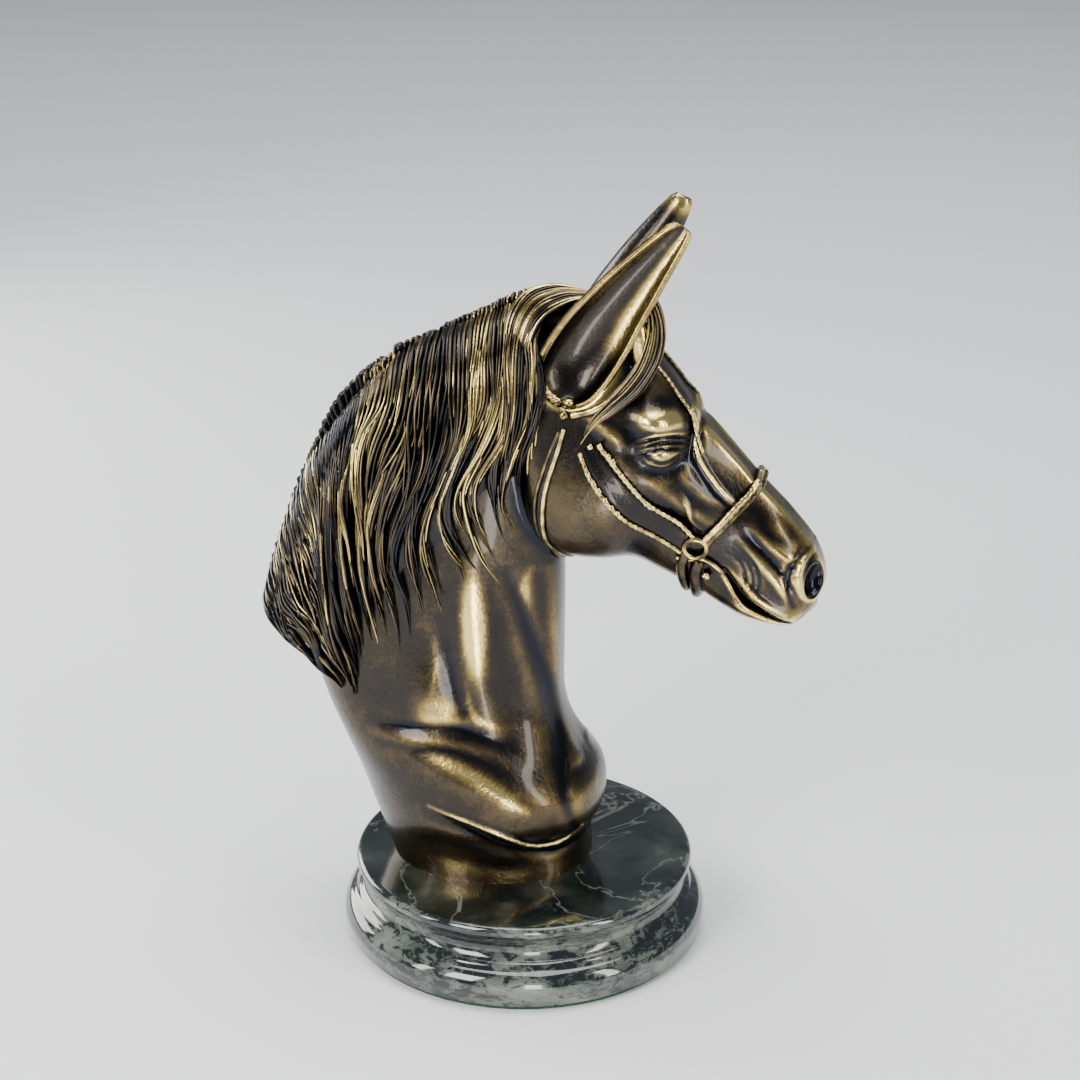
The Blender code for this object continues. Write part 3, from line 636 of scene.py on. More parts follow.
def build_mesh(name, points, faces, worn=None, smoothing=0, sharp=None):
    """A mesh object from points in millimetres and rows of three or four point numbers."""
    faces = np.asarray(faces)
    mesh = bpy.data.meshes.new(name)
    mesh.vertices.add(len(points))
    mesh.vertices.foreach_set("co", (np.asarray(points, np.float32) * 0.001).ravel())
    size = faces.shape[1]
    mesh.loops.add(faces.size)
    mesh.loops.foreach_set("vertex_index", faces.astype(np.int32).ravel())
    mesh.polygons.add(len(faces))
    mesh.polygons.foreach_set("loop_start", np.arange(0, faces.size, size, dtype=np.int32))
    mesh.update(calc_edges=True)
    mesh.validate()
    mesh.shade_smooth()
    if sharp:
        mesh.set_sharp_from_angle(angle=math.radians(sharp))
    made = new_object(name, mesh)
    # The worn attribute holds patina and rubbed wear, and on the castings, the ears and the bit rings also
    # painted highlights and painted shade.
    if worn is not None:
        shown = mesh.attributes.new("worn", "FLOAT", "POINT")
        shown.data.foreach_set("value", np.clip(worn, 0, 1).astype(np.float32))
    if smoothing:
        relax = made.modifiers.new("relax", "SMOOTH")
        relax.factor = 0.5
        relax.iterations = smoothing
    return made


def settle(piece, finish, slot, *nodes):
    """Gives a finished piece its material and its body, and hides the CAD nodes that it stands for."""
    piece.data.materials.append(finish)
    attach(piece, "root")
    if nodes:
        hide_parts(*nodes)


# The sculpted skin of the head and the neck.


class Ear:
    """Where an ear stands, and its directions upwards, forwards and out of its hollow."""

    def __init__(self, side):
        self.size = EAR_SIZES[side]
        self.base = np.array((EAR_BASES[side], 19.5 * side, 236.0))
        self.axis = np.array(EAR_TIPS[side]) - self.base
        self.length = np.linalg.norm(self.axis)
        self.axis /= self.length
        self.outward = np.array((0.10, side, 0.0))
        self.outward -= self.axis * self.outward.dot(self.axis)
        self.outward /= np.linalg.norm(self.outward)
        self.forward = np.cross(self.axis, self.outward) * -side

    def middle(self, share):
        """A point of the line up the middle of the ear."""
        bend = self.forward * EAR_BEND * math.sin(math.pi * max(share, 0))
        return self.base + self.axis * self.length * share - bend

    def hollow(self, count=40, reach=14):
        """Rings round what the ear's curled wall has to be free of."""
        rings = []
        for share, half, depth, wrap in smooth_path(EAR, 60):
            a = np.radians(np.linspace(-wrap, wrap, count))
            ring = np.sin(a)[:, None] * half * self.size * self.forward
            ring = ring - np.cos(a)[:, None] * depth * self.outward
            ring[0] += self.outward * reach
            ring[-1] += self.outward * reach
            rings.append(ring + self.middle(share))
        return rings


def sculpt(low, high, step):
    """The head and the neck as one solid, worked out on one part of the grid."""
    clay = Clay(low, high, step)
    beside = np.abs(clay.y)
    clay.field = clay.blurred(2.0, clay.distances(*lofted(NECK, oval_ring, 260)))
    clay.field = np.maximum(clay.field, NECK_FOOT - clay.z)
    clay.field -= Relief(clay, NECK_RELIEF).height[:, None, :] * rise(2, 14, beside)
    head = clay.blurred(1.2, clay.distances(*lofted(HEAD, head_ring, 240)))
    head -= Relief(clay, FACE_RELIEF).height[:, None, :] * rise(1, 7, beside)
    clay.add(head, 3.5)
    # The poll, the roots of the ears and the tuft in front of the right ear.
    clay.ellipsoid((8, 0, 254), (14, 10, 7), 15, 4)
    clay.ellipsoid((18, 15, 238), (14, 8, 11), 54, 5)
    clay.ellipsoid((45.5, 14, 250), (4.2, 4.5, 12), 8, 3, sides=(RIGHT,))
    for side in (RIGHT, LEFT):
        clay.carve(clay.distances(*skinned(Ear(side).hollow())), 0.6)
    clay.ellipsoid(NOSTRIL, NOSTRIL_RADII, -16, 0.9, hollow=True)
    clay.ellipsoid((104, 0, 150), (9, 8, 5), -20, 2)
    return clay


def hidden(points, quads, keep):
    """The same mesh without the faces whose every corner fails the test."""
    quads = quads[keep[quads].any(1)]
    used = np.unique(quads)
    renumber = np.full(len(points), -1)
    renumber[used] = np.arange(len(used))
    return points[used], renumber[quads]


def make_skin(name, node, clay, keep, wear_and_painted_light, bronze):
    """A casting's surface where keep holds, bright where rubbed, dark in its hollows, with painted highlights
    and shade.
    """
    points, quads = clay.surface()
    points, quads = hidden(points, quads, keep(points))
    worn = 0.25 + clay.worn(points, 1.6, 1.5) + clay.worn(points, 5, 0.16)
    # Rubbed places, painted highlights and painted shade, drawn on the side view.
    worn += Relief(clay, wear_and_painted_light).read(points)
    # Painted reflection: the face's flat front is drawn lighter, standing in for the warm reflections on it.
    worn += 0.25 * rise(48, 60, points[:, 0]) * (1 - rise(6, 11, np.abs(points[:, 1])))
    from_nostril = (points * (1, 0, 1) + (0, 1, 0) * np.abs(points) - NOSTRIL) / NOSTRIL_RADII
    worn *= rise(0.98, 1.14, np.linalg.norm(from_nostril, axis=1))
    settle(build_mesh(name, points, quads, worn, smoothing=4), bronze, "bronze", node)


def on_head(points):
    """Which points belong to the head's casting; the two overlap a little so that no gap shows."""
    return points[:, 0] - SEAM > -1.0


def on_neck(points):
    return (SEAM - points[:, 0] > -1.0) | (points[:, 2] < JAW_FOOT)


# The mane.


class Sheet:
    """A grid of rows of numbers, read smoothly at shares of both its ways."""

    def __init__(self, rows, across, along):
        rows = np.stack([smooth_path(row, along) for row in rows])
        self.rows = np.stack([smooth_path(rows[:, k], across) for k in range(along)], 1)

    def at(self, across, along):
        n, m = self.rows.shape[:2]
        return between(self.rows, np.clip(across, 0, 1) * (n - 1.001), np.clip(along, 0, 1) * (m - 1.001))


HAIR = Sheet(FLOW, 65, 40)


def outline_distance(clay, outline):
    """The distance of each (x, z) of a grid from a closed outline in side view, negative inside."""
    x, z = clay.x[:, 0, :], clay.z[0]
    inside = np.zeros((clay.shape[0], clay.shape[2]), bool)
    nearest = np.full(inside.shape, 1e9, np.float32)
    for start, end in zip(outline, np.roll(outline, -1, axis=0)):
        nearest = np.minimum(nearest, from_line(x, z, start, end)[1])
        (x0, z0), (x1, z1) = start, end
        if z0 != z1:
            inside ^= ((z0 > z) != (z1 > z)) & (x < x0 + (z - z0) * (x1 - x0) / (z1 - z0))
    return np.where(inside, -nearest, nearest)


def mane_mass():
    """The solid body of hair under the strands, and the hull that the strands lie on."""
    clay = Clay((-112, -50, 66), (34, 16, 272), MANE_STEP)
    hull = copy.copy(clay)
    hull.field = clay.distances(*lofted(MANE, oval_ring, 80))
    reach = 0.80
    across = np.linspace(0, 1, 40)
    ends = np.array([HAIR.at(u, reach) for u in across])
    starts = np.array([HAIR.at(u, 0) for u in across]) + (-8, 9)
    front = HAIR.at(np.ones(12), np.linspace(0, reach, 12))
    back = HAIR.at(np.zeros(12), np.linspace(reach, 0, 12))
    outline = np.vstack([starts, front, ends[::-1], back])
    edge = outline_distance(clay, outline)[:, None, :] * np.ones_like(clay.y)
    clay.field = -soft_min(-hull.field - 1.6, -edge * 0.6, 12)
    clay.field = -soft_min(-clay.field, -(clay.y - 7), 6)
    return clay, hull


class Sweep:
    """Outlines swept along paths and gathered into one mesh."""

    def __init__(self):
        self.points = []
        self.faces = []
        self.worn = []
        self.count = 0

    def gather(self, points, faces, worn):
        self.points.append(points.reshape(-1, 3))
        self.faces.append(faces)
        self.worn.append(worn.ravel())
        self.count += worn.size

    def add(self, path, facing, outline, width, height, bright):
        """Sweeps rows of (across, up, worn) along a path, with a width, height and brightness per row."""
        along = unit(np.gradient(path, axis=0))
        across = unit(np.cross(along, facing))
        up = np.cross(across, along)
        width, height, bright = (np.reshape(row, (-1, 1)) for row in (width, height, bright))
        rings = path[:, None] + across[:, None] * (outline[None, :, :1] * width[:, None])
        rings = rings + up[:, None] * (outline[None, :, 1:2] * height[:, None])
        self.gather(rings, tube_quads(*rings.shape[:2], self.count), bright * outline[None, :, 2])

    def patch(self, rows, worn):
        """An open sheet through a grid of points."""
        number = self.count + np.arange(worn.size).reshape(worn.shape)
        corners = (number[:-1, :-1], number[:-1, 1:], number[1:, 1:], number[1:, :-1])
        self.gather(rows, np.stack(corners, 2).reshape(-1, 4), worn)

    def mesh(self, name):
        return build_mesh(name, np.vstack(self.points), np.vstack(self.faces), np.concatenate(self.worn))


def hair_outline():
    """A strand's outline: a blunt ridge that is only rubbed bright along its top."""
    rows = []
    for angle in np.linspace(0.5 * np.pi, 2.5 * np.pi, 10, endpoint=False):
        c, s = math.cos(angle), math.sin(angle)
        rows.append((c * (1 - 0.45 * max(s, 0)), s if s > 0 else 0.7 * s, 0.02 + 0.95 * max(s, 0) ** 5))
    return np.array(rows)


def wave(turns):
    """A sine of whole turns."""
    return np.sin(2 * np.pi * turns)


class Ground:
    """What the strands lie on: the hull of the mane, the bare neck, and both of the crest's left side."""

    def __init__(self, mass, hull, skin):
        self.hull = hull
        self.outer = Profile(hull, RIGHT)
        self.bare = Profile(skin, RIGHT)
        self.left = (Profile(mass, LEFT), Profile(skin, LEFT))


class Clump:
    """One lock of a layer: strands that leave the crest side by side and end in a point."""

    def __init__(self, rng, layer, number):
        clumps, _, self.half, self.tall, self.lift, shortest, longest = layer
        self.rng = rng
        self.middle = (number + 0.5 + rng.uniform(-0.15, 0.15)) / clumps
        self.reach = 0.5 / clumps
        self.length = rng.uniform(shortest, longest)
        self.phase = rng.uniform()
        self.turns = rng.uniform(1.1, 1.7)
        self.sway = rng.uniform(0.5, 1.0) * 0.016
        self.glow = rng.uniform(0.2, 1.25)
        self.crest = rng.uniform(0.0, 2.2)

    def strand(self, u, ground, rows=46):
        """A strand's path, its size down its length and how bright it is, for u from -1 to 1."""
        length = self.length * (1 - 0.10 * u * u - self.rng.uniform(0, 0.07))
        q = np.linspace(0, 1, rows)
        s = length * q**1.15
        across = self.wander(u, q, s)
        climb, c = self.climb(across[0], ground.left)
        path = np.vstack([climb, self.fall(u, q, s, across, ground)])
        lift = np.concatenate([1 - rise(0.1, 0.9, c), 1 - rise(0.0, 0.12, s)])
        path += np.array((-0.5, 0, 0.85)) * (self.crest * lift)[:, None]
        t = np.concatenate([0 * c, q])
        start = np.concatenate([1 - 0.8 * rise(0.3, 1, c), 1 + 0 * q])
        size = (1 - rise(0.74, 1.0, t)) ** 0.65 * start + 0.05
        size *= self.rng.uniform(0.75, 1.2)
        glow = self.glow * self.rng.uniform(0.5, 1.3) * (0.8 + 0.2 * wave(2.3 * t + self.rng.uniform()))
        return path, size, glow

    def wander(self, u, q, s):
        """Where a strand lies across the mane, drawing in to the clump's point and swaying as it goes."""
        across = self.middle + u * self.reach * 1.2 * (1 - 0.86 * rise(0.35, 1, q))
        across = across + self.sway * wave(self.turns * s + self.phase) * rise(0.02, 0.3, s)
        return across + 0.0035 * wave(3.5 * s + self.rng.uniform()) * rise(0.1, 0.5, s)

    def fall(self, u, q, s, across, ground):
        """A strand's path from the crest down the right side, sinking to the bare neck at its end."""
        spot = HAIR.at(across, s)
        outer, inner = ground.outer.at(spot), ground.bare.at(spot)
        ending = rise(0.72, 1.0, s)
        y = outer * (1 - ending) + np.maximum(inner, outer - 7) * ending
        swell = 1.5 * (1 - u * u) - 0.6 + 0.7 * wave(1.7 * s + self.phase * 3)
        y = y + (self.lift + swell * rise(0.03, 0.2, s)) * (1 - 0.55 * ending) - 1.4 * rise(0.7, 1, q)
        return np.stack([spot[:, 0], -y, spot[:, 1]], 1)

    def climb(self, across, left, rows=9):
        """A strand's first part, up the neck's left side, and how far each point is from the crest."""
        c = np.linspace(1, 0, rows, endpoint=False)
        spot = HAIR.at(across + 0.02 * c, self.rng.uniform(0.06, 0.12) * c)
        y = np.maximum(*(side.at(spot) for side in left))
        y = y * rise(0, 0.3, c) + 0.6 - 2.2 * rise(0.6, 1, c)
        return np.stack([spot[:, 0], y, spot[:, 1]], 1), c


def comb_poll(strands, outline, rng, count=22, rows=40):
    """Hair swept back from behind the right ear, over the top of the head and down into the mane."""
    near, far = smooth_path(POLL_NEAR, rows), smooth_path(POLL_FAR, rows)
    t = np.linspace(0, 1, rows)
    for k in range(count):
        share = (k + 0.5) / count + 0.02 * wave(1.5 * t + rng.uniform())
        path = near * (1 - share[:, None]) + far * share[:, None]
        path[:, 2] += 1.5 * np.sin(np.pi * t) * rng.uniform(0, 1)
        size = 0.25 + 0.75 * rise(0, 0.25, t) * (1 - rise(0.75, 1, t))
        facing = path - (8, 6, 235)
        strands.add(path, facing, outline, 1.1 * size, 1.5 * size, rng.uniform(0.2, 1.1) * np.ones(rows))


def comb_mane(hair, ground, outline, rng):
    """Lays every strand of every clump into the lock that it belongs to."""
    for layer in LAYERS:
        clumps, strands = layer[:2]
        for number in range(clumps):
            clump = Clump(rng, layer, number)
            lock = hair[min(int(clump.middle * LOCKS), LOCKS - 1)]
            for k in range(strands):
                u = (2 * k + 1) / strands - 1 + rng.uniform(-0.08, 0.08)
                path, size, glow = clump.strand(u, ground)
                facing = ground.hull.facing(path)
                facing[:, 1] -= 0.25 + 0.7 * rise(-4, 0, path[:, 1])
                lock.add(path, facing, outline, clump.half * size, clump.tall * (0.3 + 0.7 * size), glow)


def make_mane(bronze, skin):
    """Layers of strands over a solid body of hair, gathered into as many pieces as the CAD has locks."""
    mass, hull = mane_mass()
    points, quads = mass.surface()
    worn = 0.08 + mass.worn(points, 3, 0.4)
    nodes = [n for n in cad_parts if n.startswith("mane_lock_")]
    settle(build_mesh("mane_body", points, quads, worn, smoothing=3), bronze, "bronze", *nodes)
    hair = [Sweep() for _ in range(LOCKS)]
    outline = hair_outline()
    rng = np.random.default_rng(7)
    comb_mane(hair, Ground(mass, hull, skin), outline, rng)
    comb_poll(hair[-1], outline, rng)
    for k, strands in enumerate(hair):
        settle(strands.mesh(f"mane_strands_{k + 1}"), bronze, "bronze")


# The ears, the forelock and the bridle.


def rim(start, end, count=5):
    """The rounded edge between two corners of a wall."""
    middle, reach = (start + end) / 2, (start - end) / 2
    turned = np.array((-reach[1], reach[0], 0, 0)) * math.copysign(1, start[2])
    a = np.linspace(0, np.pi, count + 2)[1:-1, None]
    edge = middle + reach * np.cos(a) + turned * np.sin(a)
    edge[:, 2:] = (math.copysign(1, start[2]), 0)
    return edge


def ear_section(half, depth, wrap, count=26):
    """A closed outline round an ear's curled wall: (forward, outward, share round, in or out)."""
    w = math.radians(wrap)
    a = np.linspace(-w, w, count)
    thick = EAR_WALL * (1 + 0.35 * rise(0.82, 0.97, np.abs(a) / w))
    outer, inner = (
        np.stack([np.sin(a) * (half + out), -np.cos(a) * (depth + out), a / w, np.sign(out)], 1)
        for out in (thick, -thick)
    )
    return np.vstack([outer, rim(outer[-1], inner[-1]), inner[::-1], rim(inner[0], outer[0])])


def make_ear(name, side, finish):
    """A pointed spoon whose hollow opens to its own side of the head."""
    ear = Ear(side)
    rings, worn = [], []
    for share, half, depth, wrap in smooth_path(EAR, 90):
        section = ear_section(half * ear.size, depth, wrap)
        rings.append(ear.middle(share) + section[:, :1] * ear.forward + section[:, 1:2] * ear.outward)
        # Painted reflection: the front half of the hollow's wall, above its root, is drawn bright gold; the
        # rest of the hollow keeps its dark patina.
        inside = 0.24 + 0.85 * rise(0.10, 0.45, section[:, 2]) * rise(0.12, 0.45, share)
        outside = 0.26 + 0.5 * rise(0.86, 0.97, share)
        edge = 0.62 + 0.15 * rise(0.8, 1.0, share)
        worn.append(np.where(section[:, 3] == 0, edge, np.where(section[:, 3] < 0, inside, outside)))
    points, quads = skinned(rings)
    worn = np.concatenate([worn[:1], worn, worn[-1:]]).ravel()
    if side > 0:
        quads = quads[:, ::-1]
    settle(build_mesh(name + "_cup", points, quads, worn), finish, "bronze", name)


def make_forelock(bronze, count=34, rows=60):
    """A crescent of hair that leaves the front of the right ear and sweeps back over the browband."""
    rng = np.random.default_rng(11)
    outer, inner = smooth_path(FORELOCK_OUTER, rows), smooth_path(FORELOCK_INNER, rows)
    sweep = Sweep()
    outline = hair_outline()
    t = np.linspace(0, 1, rows)
    middle = (outer + inner) / 2
    for k in range(count):
        a = 2 * np.pi * (k * 0.618)
        reach = math.sqrt((k + 0.5) / count)
        share = 0.5 + 0.5 * reach * math.cos(a)
        away = 3.4 * reach * math.sin(a) * (1 - 0.75 * rise(0.4, 1, t)) + 0.35 * wave(1.6 * t + k * 0.37)
        path = inner * (1 - share) + outer * share + np.array((0.15, -1, 0.1)) * away[:, None]
        size = (0.35 + 0.65 * rise(0, 0.2, t)) * (1 - 0.6 * rise(0.6, 1, t)) * rng.uniform(0.8, 1.15)
        facing = path - middle + np.array((0, -1.2, 0))
        glow = rng.uniform(0.7, 1.65) * (0.8 + 0.2 * math.cos(a))
        sweep.add(path, facing, outline, size, size * 1.2, glow * np.ones(rows))
    settle(sweep.mesh("forelock_strands"), bronze, "bronze", "forelock")


def laid(clay, rows, count, lift):
    """A smooth line through rows of (x, y, z), dropped onto a solid and raised off it."""
    path = smooth_path(rows, count)
    for _ in range(8):
        path = path + clay.facing(path) * (lift - clay.read(clay.field, path))[:, None]
    return path


def mirrored(rows, side):
    """Rows whose y is counted outwards, on one side of the head."""
    return np.array(rows, float) * (1, side, 1)


def rounded_ends(count, share):
    """A width along a line that is full in the middle and rounds to nothing at both ends."""
    t = np.linspace(0, 1, count)
    near = np.clip(np.minimum(t, 1 - t) / share, 0.001, 1)
    return np.sqrt(1 - (1 - near) ** 2)


def cord(sweep, clay, rows, radius, lift, glow, beads=0.0, pitch=1.8):
    """A round rod along the skin, with beads down its length if asked."""
    count = max(int(gone_along(rows)[-1] * 2.2), 12)
    path = laid(clay, rows, count, lift)
    gone = gone_along(path)
    size = radius * rounded_ends(count, 0.03) * (1 + beads * wave(gone / pitch))
    sweep.add(path, clay.facing(path), ROUND, size, size, glow * (0.85 + 0.15 * np.sin(gone * 0.9)))


def rope(sweep, clay, rows, radius, lift, pitch=7.0, strands=3):
    """Strands wound round each other along the skin."""
    count = max(int(gone_along(rows)[-1] * 3), 24)
    path = laid(clay, rows, count, lift)
    facing = clay.facing(path)
    along = np.gradient(path, axis=0)
    along /= np.linalg.norm(along, axis=1)[:, None]
    across = np.cross(along, facing)
    size = radius * 0.60 * rounded_ends(count, 0.04)
    for k in range(strands):
        a = 2 * np.pi * (gone_along(path) / pitch + k / strands)
        away = across * np.cos(a)[:, None] + facing * np.sin(a)[:, None]
        bright = 0.55 + 0.45 * np.clip(np.sin(a), 0, 1)
        sweep.add(path + away * radius * 0.45, away, ROUND, size, size, bright)


def stud(sweep, clay, place, radius, lift, glow=1.0, rows=13):
    """A low dome on the skin."""
    middle = laid(clay, [place, place], 2, lift)[0]
    facing = clay.facing(middle[None])[0]
    t = np.linspace(-0.98, 0.98, rows)
    size = radius * np.sqrt(1 - t * t)
    path = middle + facing * (t * radius * 0.8)[:, None]
    beside = np.repeat(np.cross(facing, (0.3, 0.2, 0.9))[None], rows, 0)
    square = np.array([(math.cos(a), math.sin(a), 1.0) for a in TURN[::3]])
    sweep.add(path, beside, square, size, size, glow * (0.45 + 0.55 * rise(-0.2, 0.8, t)))


def band(sweep, clay, upper, lower, thick, glow, count=70):
    """A flat strap between two lines of its edges."""
    upper, lower = smooth_path(upper, count), smooth_path(lower, count)
    rows = [
        laid(clay, lower * (1 - share) + upper * share, count, lift)
        for share, lift in zip(STRAP_SHARES, STRAP_LIFTS * thick)
    ]
    worn = np.repeat((glow * (0.7 + 0.6 * np.abs(STRAP_SHARES - 0.5)))[None], count, 0)
    sweep.patch(np.stack(rows, 1), worn)


def make_cheekpiece(gilt, cover, side, name):
    """The strap from the crown to the bit on one side, with its cords, its studs and the bit's ring."""
    upper, lower = mirrored(CHEEK_UPPER, side), mirrored(CHEEK_LOWER, side)
    strap = Sweep()
    band(strap, cover, upper, lower, 1.5, 0.12)
    for edge, glow in ((upper, 1.0), (lower, 0.85)):
        cord(strap, cover, edge, 1.05, 1.3, glow, 0.14, 2.6)
    settle(strap.mesh(f"cheek_strap_{name}"), gilt, "gilt_bronze", f"cheekpiece_{name}")
    for part, places in CHEEK_STUDS.items():
        studs = Sweep()
        for x, z in places:
            stud(studs, cover, mirrored((x, 26, z), side), 1.35, 1.9)
        settle(studs.mesh(f"cheek_studs_{part}_{name}"), gilt, "gilt_bronze", f"keeper_{part}_{name}")
    make_bit_ring(gilt, cover, side, name)


def make_bit_ring(gilt, cover, side, name, radius=4.1, wire=1.05, rows=70):
    middle = laid(cover, mirrored([BIT, BIT], side), 2, 1.9)[0]
    facing = cover.facing(middle[None])[0]
    first = np.cross(facing, (0, 0, 1))
    first /= np.linalg.norm(first)
    second = np.cross(facing, first)
    a = np.linspace(0, 2 * np.pi * 1.02, rows)[:, None]
    path = middle + (first * np.cos(a) + second * np.sin(a)) * radius
    size = np.full(rows, wire)
    ring = Sweep()
    # Painted highlights: the wire is drawn brighter at two opposite places round the ring.
    ring.add(path, np.repeat(facing[None], rows, 0), ROUND, size, size, 0.65 + 0.35 * np.sin(2 * a[:, 0]))
    settle(ring.mesh(f"bit_ring_{name}_wire"), gilt, "gilt_bronze", f"bit_ring_{name}")


def make_bridle(gilt, head):
    """The straps of the bridle on both sides of the head, and what fastens them."""
    cover = head.softened(1.6)
    crown = Sweep()
    straps = {node: Sweep() for node in CORDS}
    for side, name in ((RIGHT, "right"), (LEFT, "left")):
        rope(crown, cover, mirrored(CROWN, side), 1.9, 1.6)
        knob = Sweep()
        for place, *look in CROWN_STUDS:
            stud(knob, cover, mirrored(place, side), *look)
        settle(knob.mesh(f"knob_{name}"), gilt, "gilt_bronze", f"crown_knob_{name}")
        for node, cords in CORDS.items():
            for rows, *look in cords:
                cord(straps[node], cover, mirrored(rows, side), *look)
        stud(straps["chin_strap"], cover, mirrored(CHIN_STUD[0], side), *CHIN_STUD[1:])
        make_cheekpiece(gilt, cover, side, name)
    settle(crown.mesh("crown_rope"), gilt, "gilt_bronze", "crownpiece")
    for node, strap in straps.items():
        settle(strap.mesh(PIECES[node]), gilt, "gilt_bronze", node)


# The plinth.


def arc(x, z, radius, start, end, count):
    a = np.radians(np.linspace(start, end, count))
    return np.stack([x + radius * np.cos(a), z + radius * np.sin(a)], 1)


def make_plinth(marble, steps=256):
    """The turned stone, with the bore and the recess for the nut in its underside."""
    lip, foot, top = 67.0, 72.3, 33.5
    bore, recess, recess_top, underside = 4.5, 15, 14.1, 2.1
    profile = np.vstack(
        [
            [(bore, recess_top), (bore, top - 0.4), (4.9, top)],
            np.stack([np.linspace(8, lip - 4, 14), np.full(14, top)], 1),
            arc(lip - 2.6, top - 2.6, 2.6, 90, -60, 22),
            arc(lip + 1.0, 22.6, 5.2, 150, 236, 18),
            [(66.0, 17.9), (66.6, 17.2)],
            arc(foot - 7.4, 9.0, 7.4, 66, -20, 26),
            [(foot - 1.2, 2.5), (foot - 2.0, underside), (40, underside), (15.4, underside)],
            [(recess, 2.5), (recess, recess_top)],
        ]
    )
    a = np.linspace(0, 2 * np.pi, steps, endpoint=False)
    points = np.stack([profile[:, :1] * np.cos(a), profile[:, :1] * np.sin(a), profile[:, 1:] + 0 * a], 2)
    k = np.arange(steps)
    after = (k + 1) % steps
    starts = np.arange(len(profile)) * steps
    pairs = zip(starts, np.roll(starts, -1))
    quads = [np.stack([one + k, two + k, two + after, one + after], 1) for one, two in pairs]
    upper = rise(33.2, 33.5, points[:, :, 2]) * rise(4, 5, points[:, :, 0] ** 2 + points[:, :, 1] ** 2)
    made = build_mesh("plinth_stone", points.reshape(-1, 3), np.vstack(quads), upper.ravel(), sharp=40)
    settle(made, marble, "green_marble", "marble_plinth")


# Materials.


class Look:
    """A material and what wires its nodes."""

    def __init__(self, name):
        self.made = bpy.data.materials.new(name)
        self.made.use_nodes = True
        self.nodes = self.made.node_tree.nodes
        self.shader = self.nodes["Principled BSDF"]

    def feed(self, socket, value):
        """Sets a socket to a constant, or links it to another node's output."""
        if isinstance(value, bpy.types.NodeSocket):
            self.made.node_tree.links.new(value, socket)
        elif isinstance(value, tuple) and socket.type == "RGBA":
            socket.default_value = (*value, 1)
        else:
            socket.default_value = value

    def node(self, kind, inputs, **settings):
        made = self.nodes.new("ShaderNode" + kind)
        for name, value in settings.items():
            setattr(made, name, value)
        for name, value in inputs.items():
            self.feed(made.inputs[name], value)
        return made

    def surface(self, inputs):
        for name, value in inputs.items():
            self.feed(self.shader.inputs[name], value)

    def place(self):
        return self.node("TexCoord", {}).outputs["Object"]

    def stretched(self, place, scale):
        return self.node("Mapping", {"Vector": place, "Scale": scale}).outputs["Vector"]

    def attribute(self, name):
        return self.node("Attribute", {}, attribute_name=name).outputs["Fac"]

    def noise(self, place, scale, detail, roughness, distortion=0.0):
        inputs = {"Scale": scale, "Detail": detail, "Roughness": roughness, "Distortion": distortion}
        return self.node("TexNoise", {"Vector": place, **inputs}).outputs["Fac"]

    def ramp(self, factor, *stops):
        """Colours, or greys given as one number, at places from 0 to 1."""
        made = self.node("ValToRGB", {"Fac": factor})
        scale = made.color_ramp
        while len(scale.elements) < len(stops):
            scale.elements.new(0.5)
        for element, (place, colour) in zip(scale.elements, stops):
            element.position = place
            element.color = (*colour, 1) if isinstance(colour, tuple) else (colour, colour, colour, 1)
        return made.outputs["Color"]

    def math(self, operation, *values):
        return self.node("Math", dict(enumerate(values)), operation=operation).outputs["Value"]

    def mixed(self, factor, a, b):
        return self.node("Mix", {"Factor": factor, "A": a, "B": b}, data_type="RGBA").outputs["Result"]

    def bump(self, height, strength, distance):
        made = self.node("Bump", {"Strength": strength, "Distance": distance, "Height": height})
        self.surface({"Normal": made.outputs["Normal"]})


def bronze_material(name, shine):
    """Dark patina in hollows and painted shade, brown on the faces, rubbed gold on high places and painted
    highlights.
    """
    look = Look(name)
    place = look.place()
    patches = look.noise(place, 60, 6, 0.65)
    grain = look.noise(place, 800, 3, 0.6)
    chased = look.noise(place, 230, 2, 0.5)
    level = look.math("MULTIPLY_ADD", patches, 0.50, look.attribute("worn"))
    level = look.math("MULTIPLY_ADD", grain, 0.22, level)
    level = look.math("SUBTRACT", level, 0.36 - shine)
    colour = look.ramp(
        level,
        (0.03, (0.008, 0.010, 0.015)),
        (0.28, (0.030, 0.024, 0.018)),
        (0.46, (0.092, 0.066, 0.031)),
        (0.62, (0.26, 0.185, 0.056)),
        (0.88, (0.84, 0.66, 0.23)),
    )
    roughness = look.ramp(level, (0.1, 0.24), (0.45, 0.34), (0.9, 0.19))
    look.surface({"Base Color": colour, "Roughness": roughness, "Metallic": 1.0})
    look.surface({"Coat Weight": 0.3, "Coat Roughness": 0.08})
    uneven = look.math("MULTIPLY_ADD", patches, 2.0, grain)
    uneven = look.math("MULTIPLY_ADD", chased, 1.2, uneven)
    look.bump(uneven, 0.24, 0.0006)
    return look.made


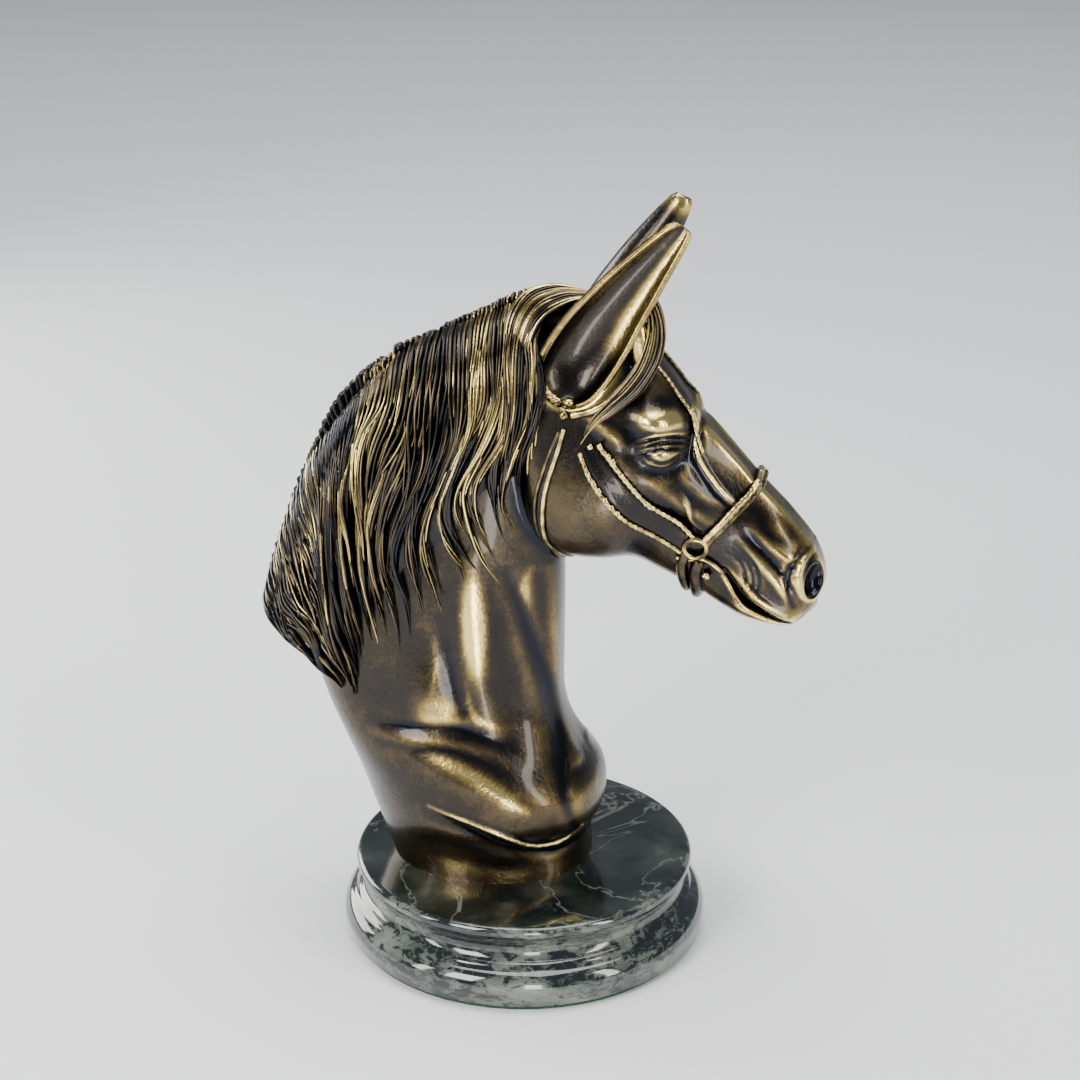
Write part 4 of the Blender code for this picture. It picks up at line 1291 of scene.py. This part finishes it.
def marble_material():
    """Grey-green and flecked with black on its sides, almost black and thinly veined on its top."""
    look = Look("green_marble")
    place = look.place()
    flat = look.stretched(place, (1, 1, 2.2))
    clouds = look.noise(flat, 38, 5, 0.6, 0.4)
    flecks = look.noise(flat, 170, 8, 0.72, 0.8)
    veins = look.noise(place, 13, 5, 0.55, 1.2)
    pale = ((0.30, (0.028, 0.036, 0.034)), (0.50, (0.060, 0.072, 0.062)), (0.70, (0.14, 0.158, 0.13)))
    fleck = look.ramp(look.math("MULTIPLY_ADD", clouds, 0.55, flecks), (0.745, 1.0), (0.82, 0.0))
    side = look.mixed(fleck, look.ramp(clouds, *pale), (0.006, 0.009, 0.010))
    dark = ((0.42, (0.004, 0.006, 0.005)), (0.60, (0.020, 0.027, 0.022)), (0.75, (0.05, 0.06, 0.05)))
    vein = look.math("ABSOLUTE", look.math("SUBTRACT", veins, 0.5))
    vein = look.ramp(vein, (0.0, 0.45), (0.004, 0.18), (0.010, 0.0))
    top = look.mixed(vein, look.ramp(clouds, *dark), (0.22, 0.25, 0.22))
    look.surface({"Base Color": look.mixed(look.attribute("worn"), side, top), "Roughness": 0.10})
    look.surface({"Coat Weight": 0.5, "Coat Roughness": 0.03})
    return look.made


def felt_material():
    look = Look("felt")
    place = look.place()
    fibres = look.noise(look.stretched(place, (1, 2.5, 1)), 1400, 6, 0.75, 1.5)
    level = look.math("MULTIPLY_ADD", look.noise(place, 90, 3, 0.5), 0.4, fibres)
    colour = look.ramp(level, (0.45, (0.006, 0.022, 0.012)), (0.95, (0.035, 0.10, 0.055)))
    look.surface({"Base Color": colour, "Roughness": 0.95})
    look.bump(fibres, 0.5, 0.0005)
    return look.made


def steel_material():
    look = Look("zinc_plated_steel")
    place = look.place()
    turned = look.noise(look.stretched(place, (1, 1, 14)), 300, 4, 0.6)
    spots = look.noise(place, 130, 4, 0.6)
    colour = look.ramp(spots, (0.3, (0.42, 0.42, 0.41)), (0.7, (0.62, 0.62, 0.60)))
    roughness = look.ramp(turned, (0.3, 0.25), (0.7, 0.42))
    look.surface({"Base Color": colour, "Roughness": roughness, "Metallic": 1.0})
    look.bump(turned, 0.15, 0.0002)
    return look.made


def clad_fittings():
    """Gives the CAD nodes that are shown as they are their materials."""
    felt, steel = felt_material(), steel_material()
    for node in ("felt_pad", *FITTINGS):
        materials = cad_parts[node].data.materials
        materials.clear()
        materials.append(felt if node == "felt_pad" else steel)


# The stage.


def area_light(name, place, target, size, power, colour):
    data = bpy.data.lights.new(name, "AREA")
    data.shape = "RECTANGLE"
    data.size, data.size_y = size
    data.energy = power
    data.color = colour
    made = new_object(name, data)
    made.location = place
    made.rotation_euler = (Vector(target) - Vector(place)).to_track_quat("-Z", "Y").to_euler()
    made.visible_camera = False


def make_stage():
    """A pale floor, a pale sky and soft lamps."""
    reach = FLOOR_REACH
    corners = [(-reach, -reach, 0), (reach, -reach, 0), (reach, reach, 0), (-reach, reach, 0)]
    floor = build_mesh("floor", corners, [(0, 1, 2, 3)])
    look = Look("floor")
    look.surface({"Base Color": (0.78, 0.79, 0.81), "Roughness": 0.7})
    floor.data.materials.append(look.made)
    world = bpy.data.worlds.new("studio")
    world.use_nodes = True
    sky = world.node_tree.nodes["Background"]
    sky.inputs["Color"].default_value = (0.55, 0.6, 0.68, 1)
    sky.inputs["Strength"].default_value = 0.45
    bpy.context.scene.world = world
    for lamp in LAMPS:
        area_light(*lamp)


def make_camera():
    """The camera stands forward of the horse's right side and looks down on it."""
    data = bpy.data.cameras.new("camera")
    data.sensor_width = 36
    data.lens = 80.23
    made = new_object("camera", data)
    bearing = math.radians(CAMERA_BEARING)
    across, back = math.sin(bearing), -math.cos(bearing)
    made.location = (CAMERA_DISTANCE * across, CAMERA_DISTANCE * back, CAMERA_HEIGHT)
    made.rotation_euler = (math.radians(90 - CAMERA_PITCH), 0, bearing - CAMERA_TURN)
    bpy.context.scene.camera = made


make_camera()
make_stage()
bronze = bronze_material("bronze", 0.0)
gilt = bronze_material("gilt_bronze", 0.06)
head_clay = sculpt((-14, -34, 134), (120, 34, 266), HEAD_STEP)
neck_clay = sculpt((-96, -50, 28), (44, 50, 262), NECK_STEP)
make_skin("head_skin", "head_casting", head_clay, on_head, FACE_WEAR_AND_PAINTED_LIGHT + NECK_WEAR_AND_PAINTED_LIGHT, bronze)
make_skin("neck_skin", "neck_casting", neck_clay, on_neck, NECK_WEAR_AND_PAINTED_LIGHT, bronze)
make_mane(bronze, neck_clay)
make_ear("ear_right", RIGHT, bronze)
make_ear("ear_left", LEFT, bronze)
make_forelock(bronze)
make_bridle(gilt, head_clay)
make_plinth(marble_material())
clad_fittings()
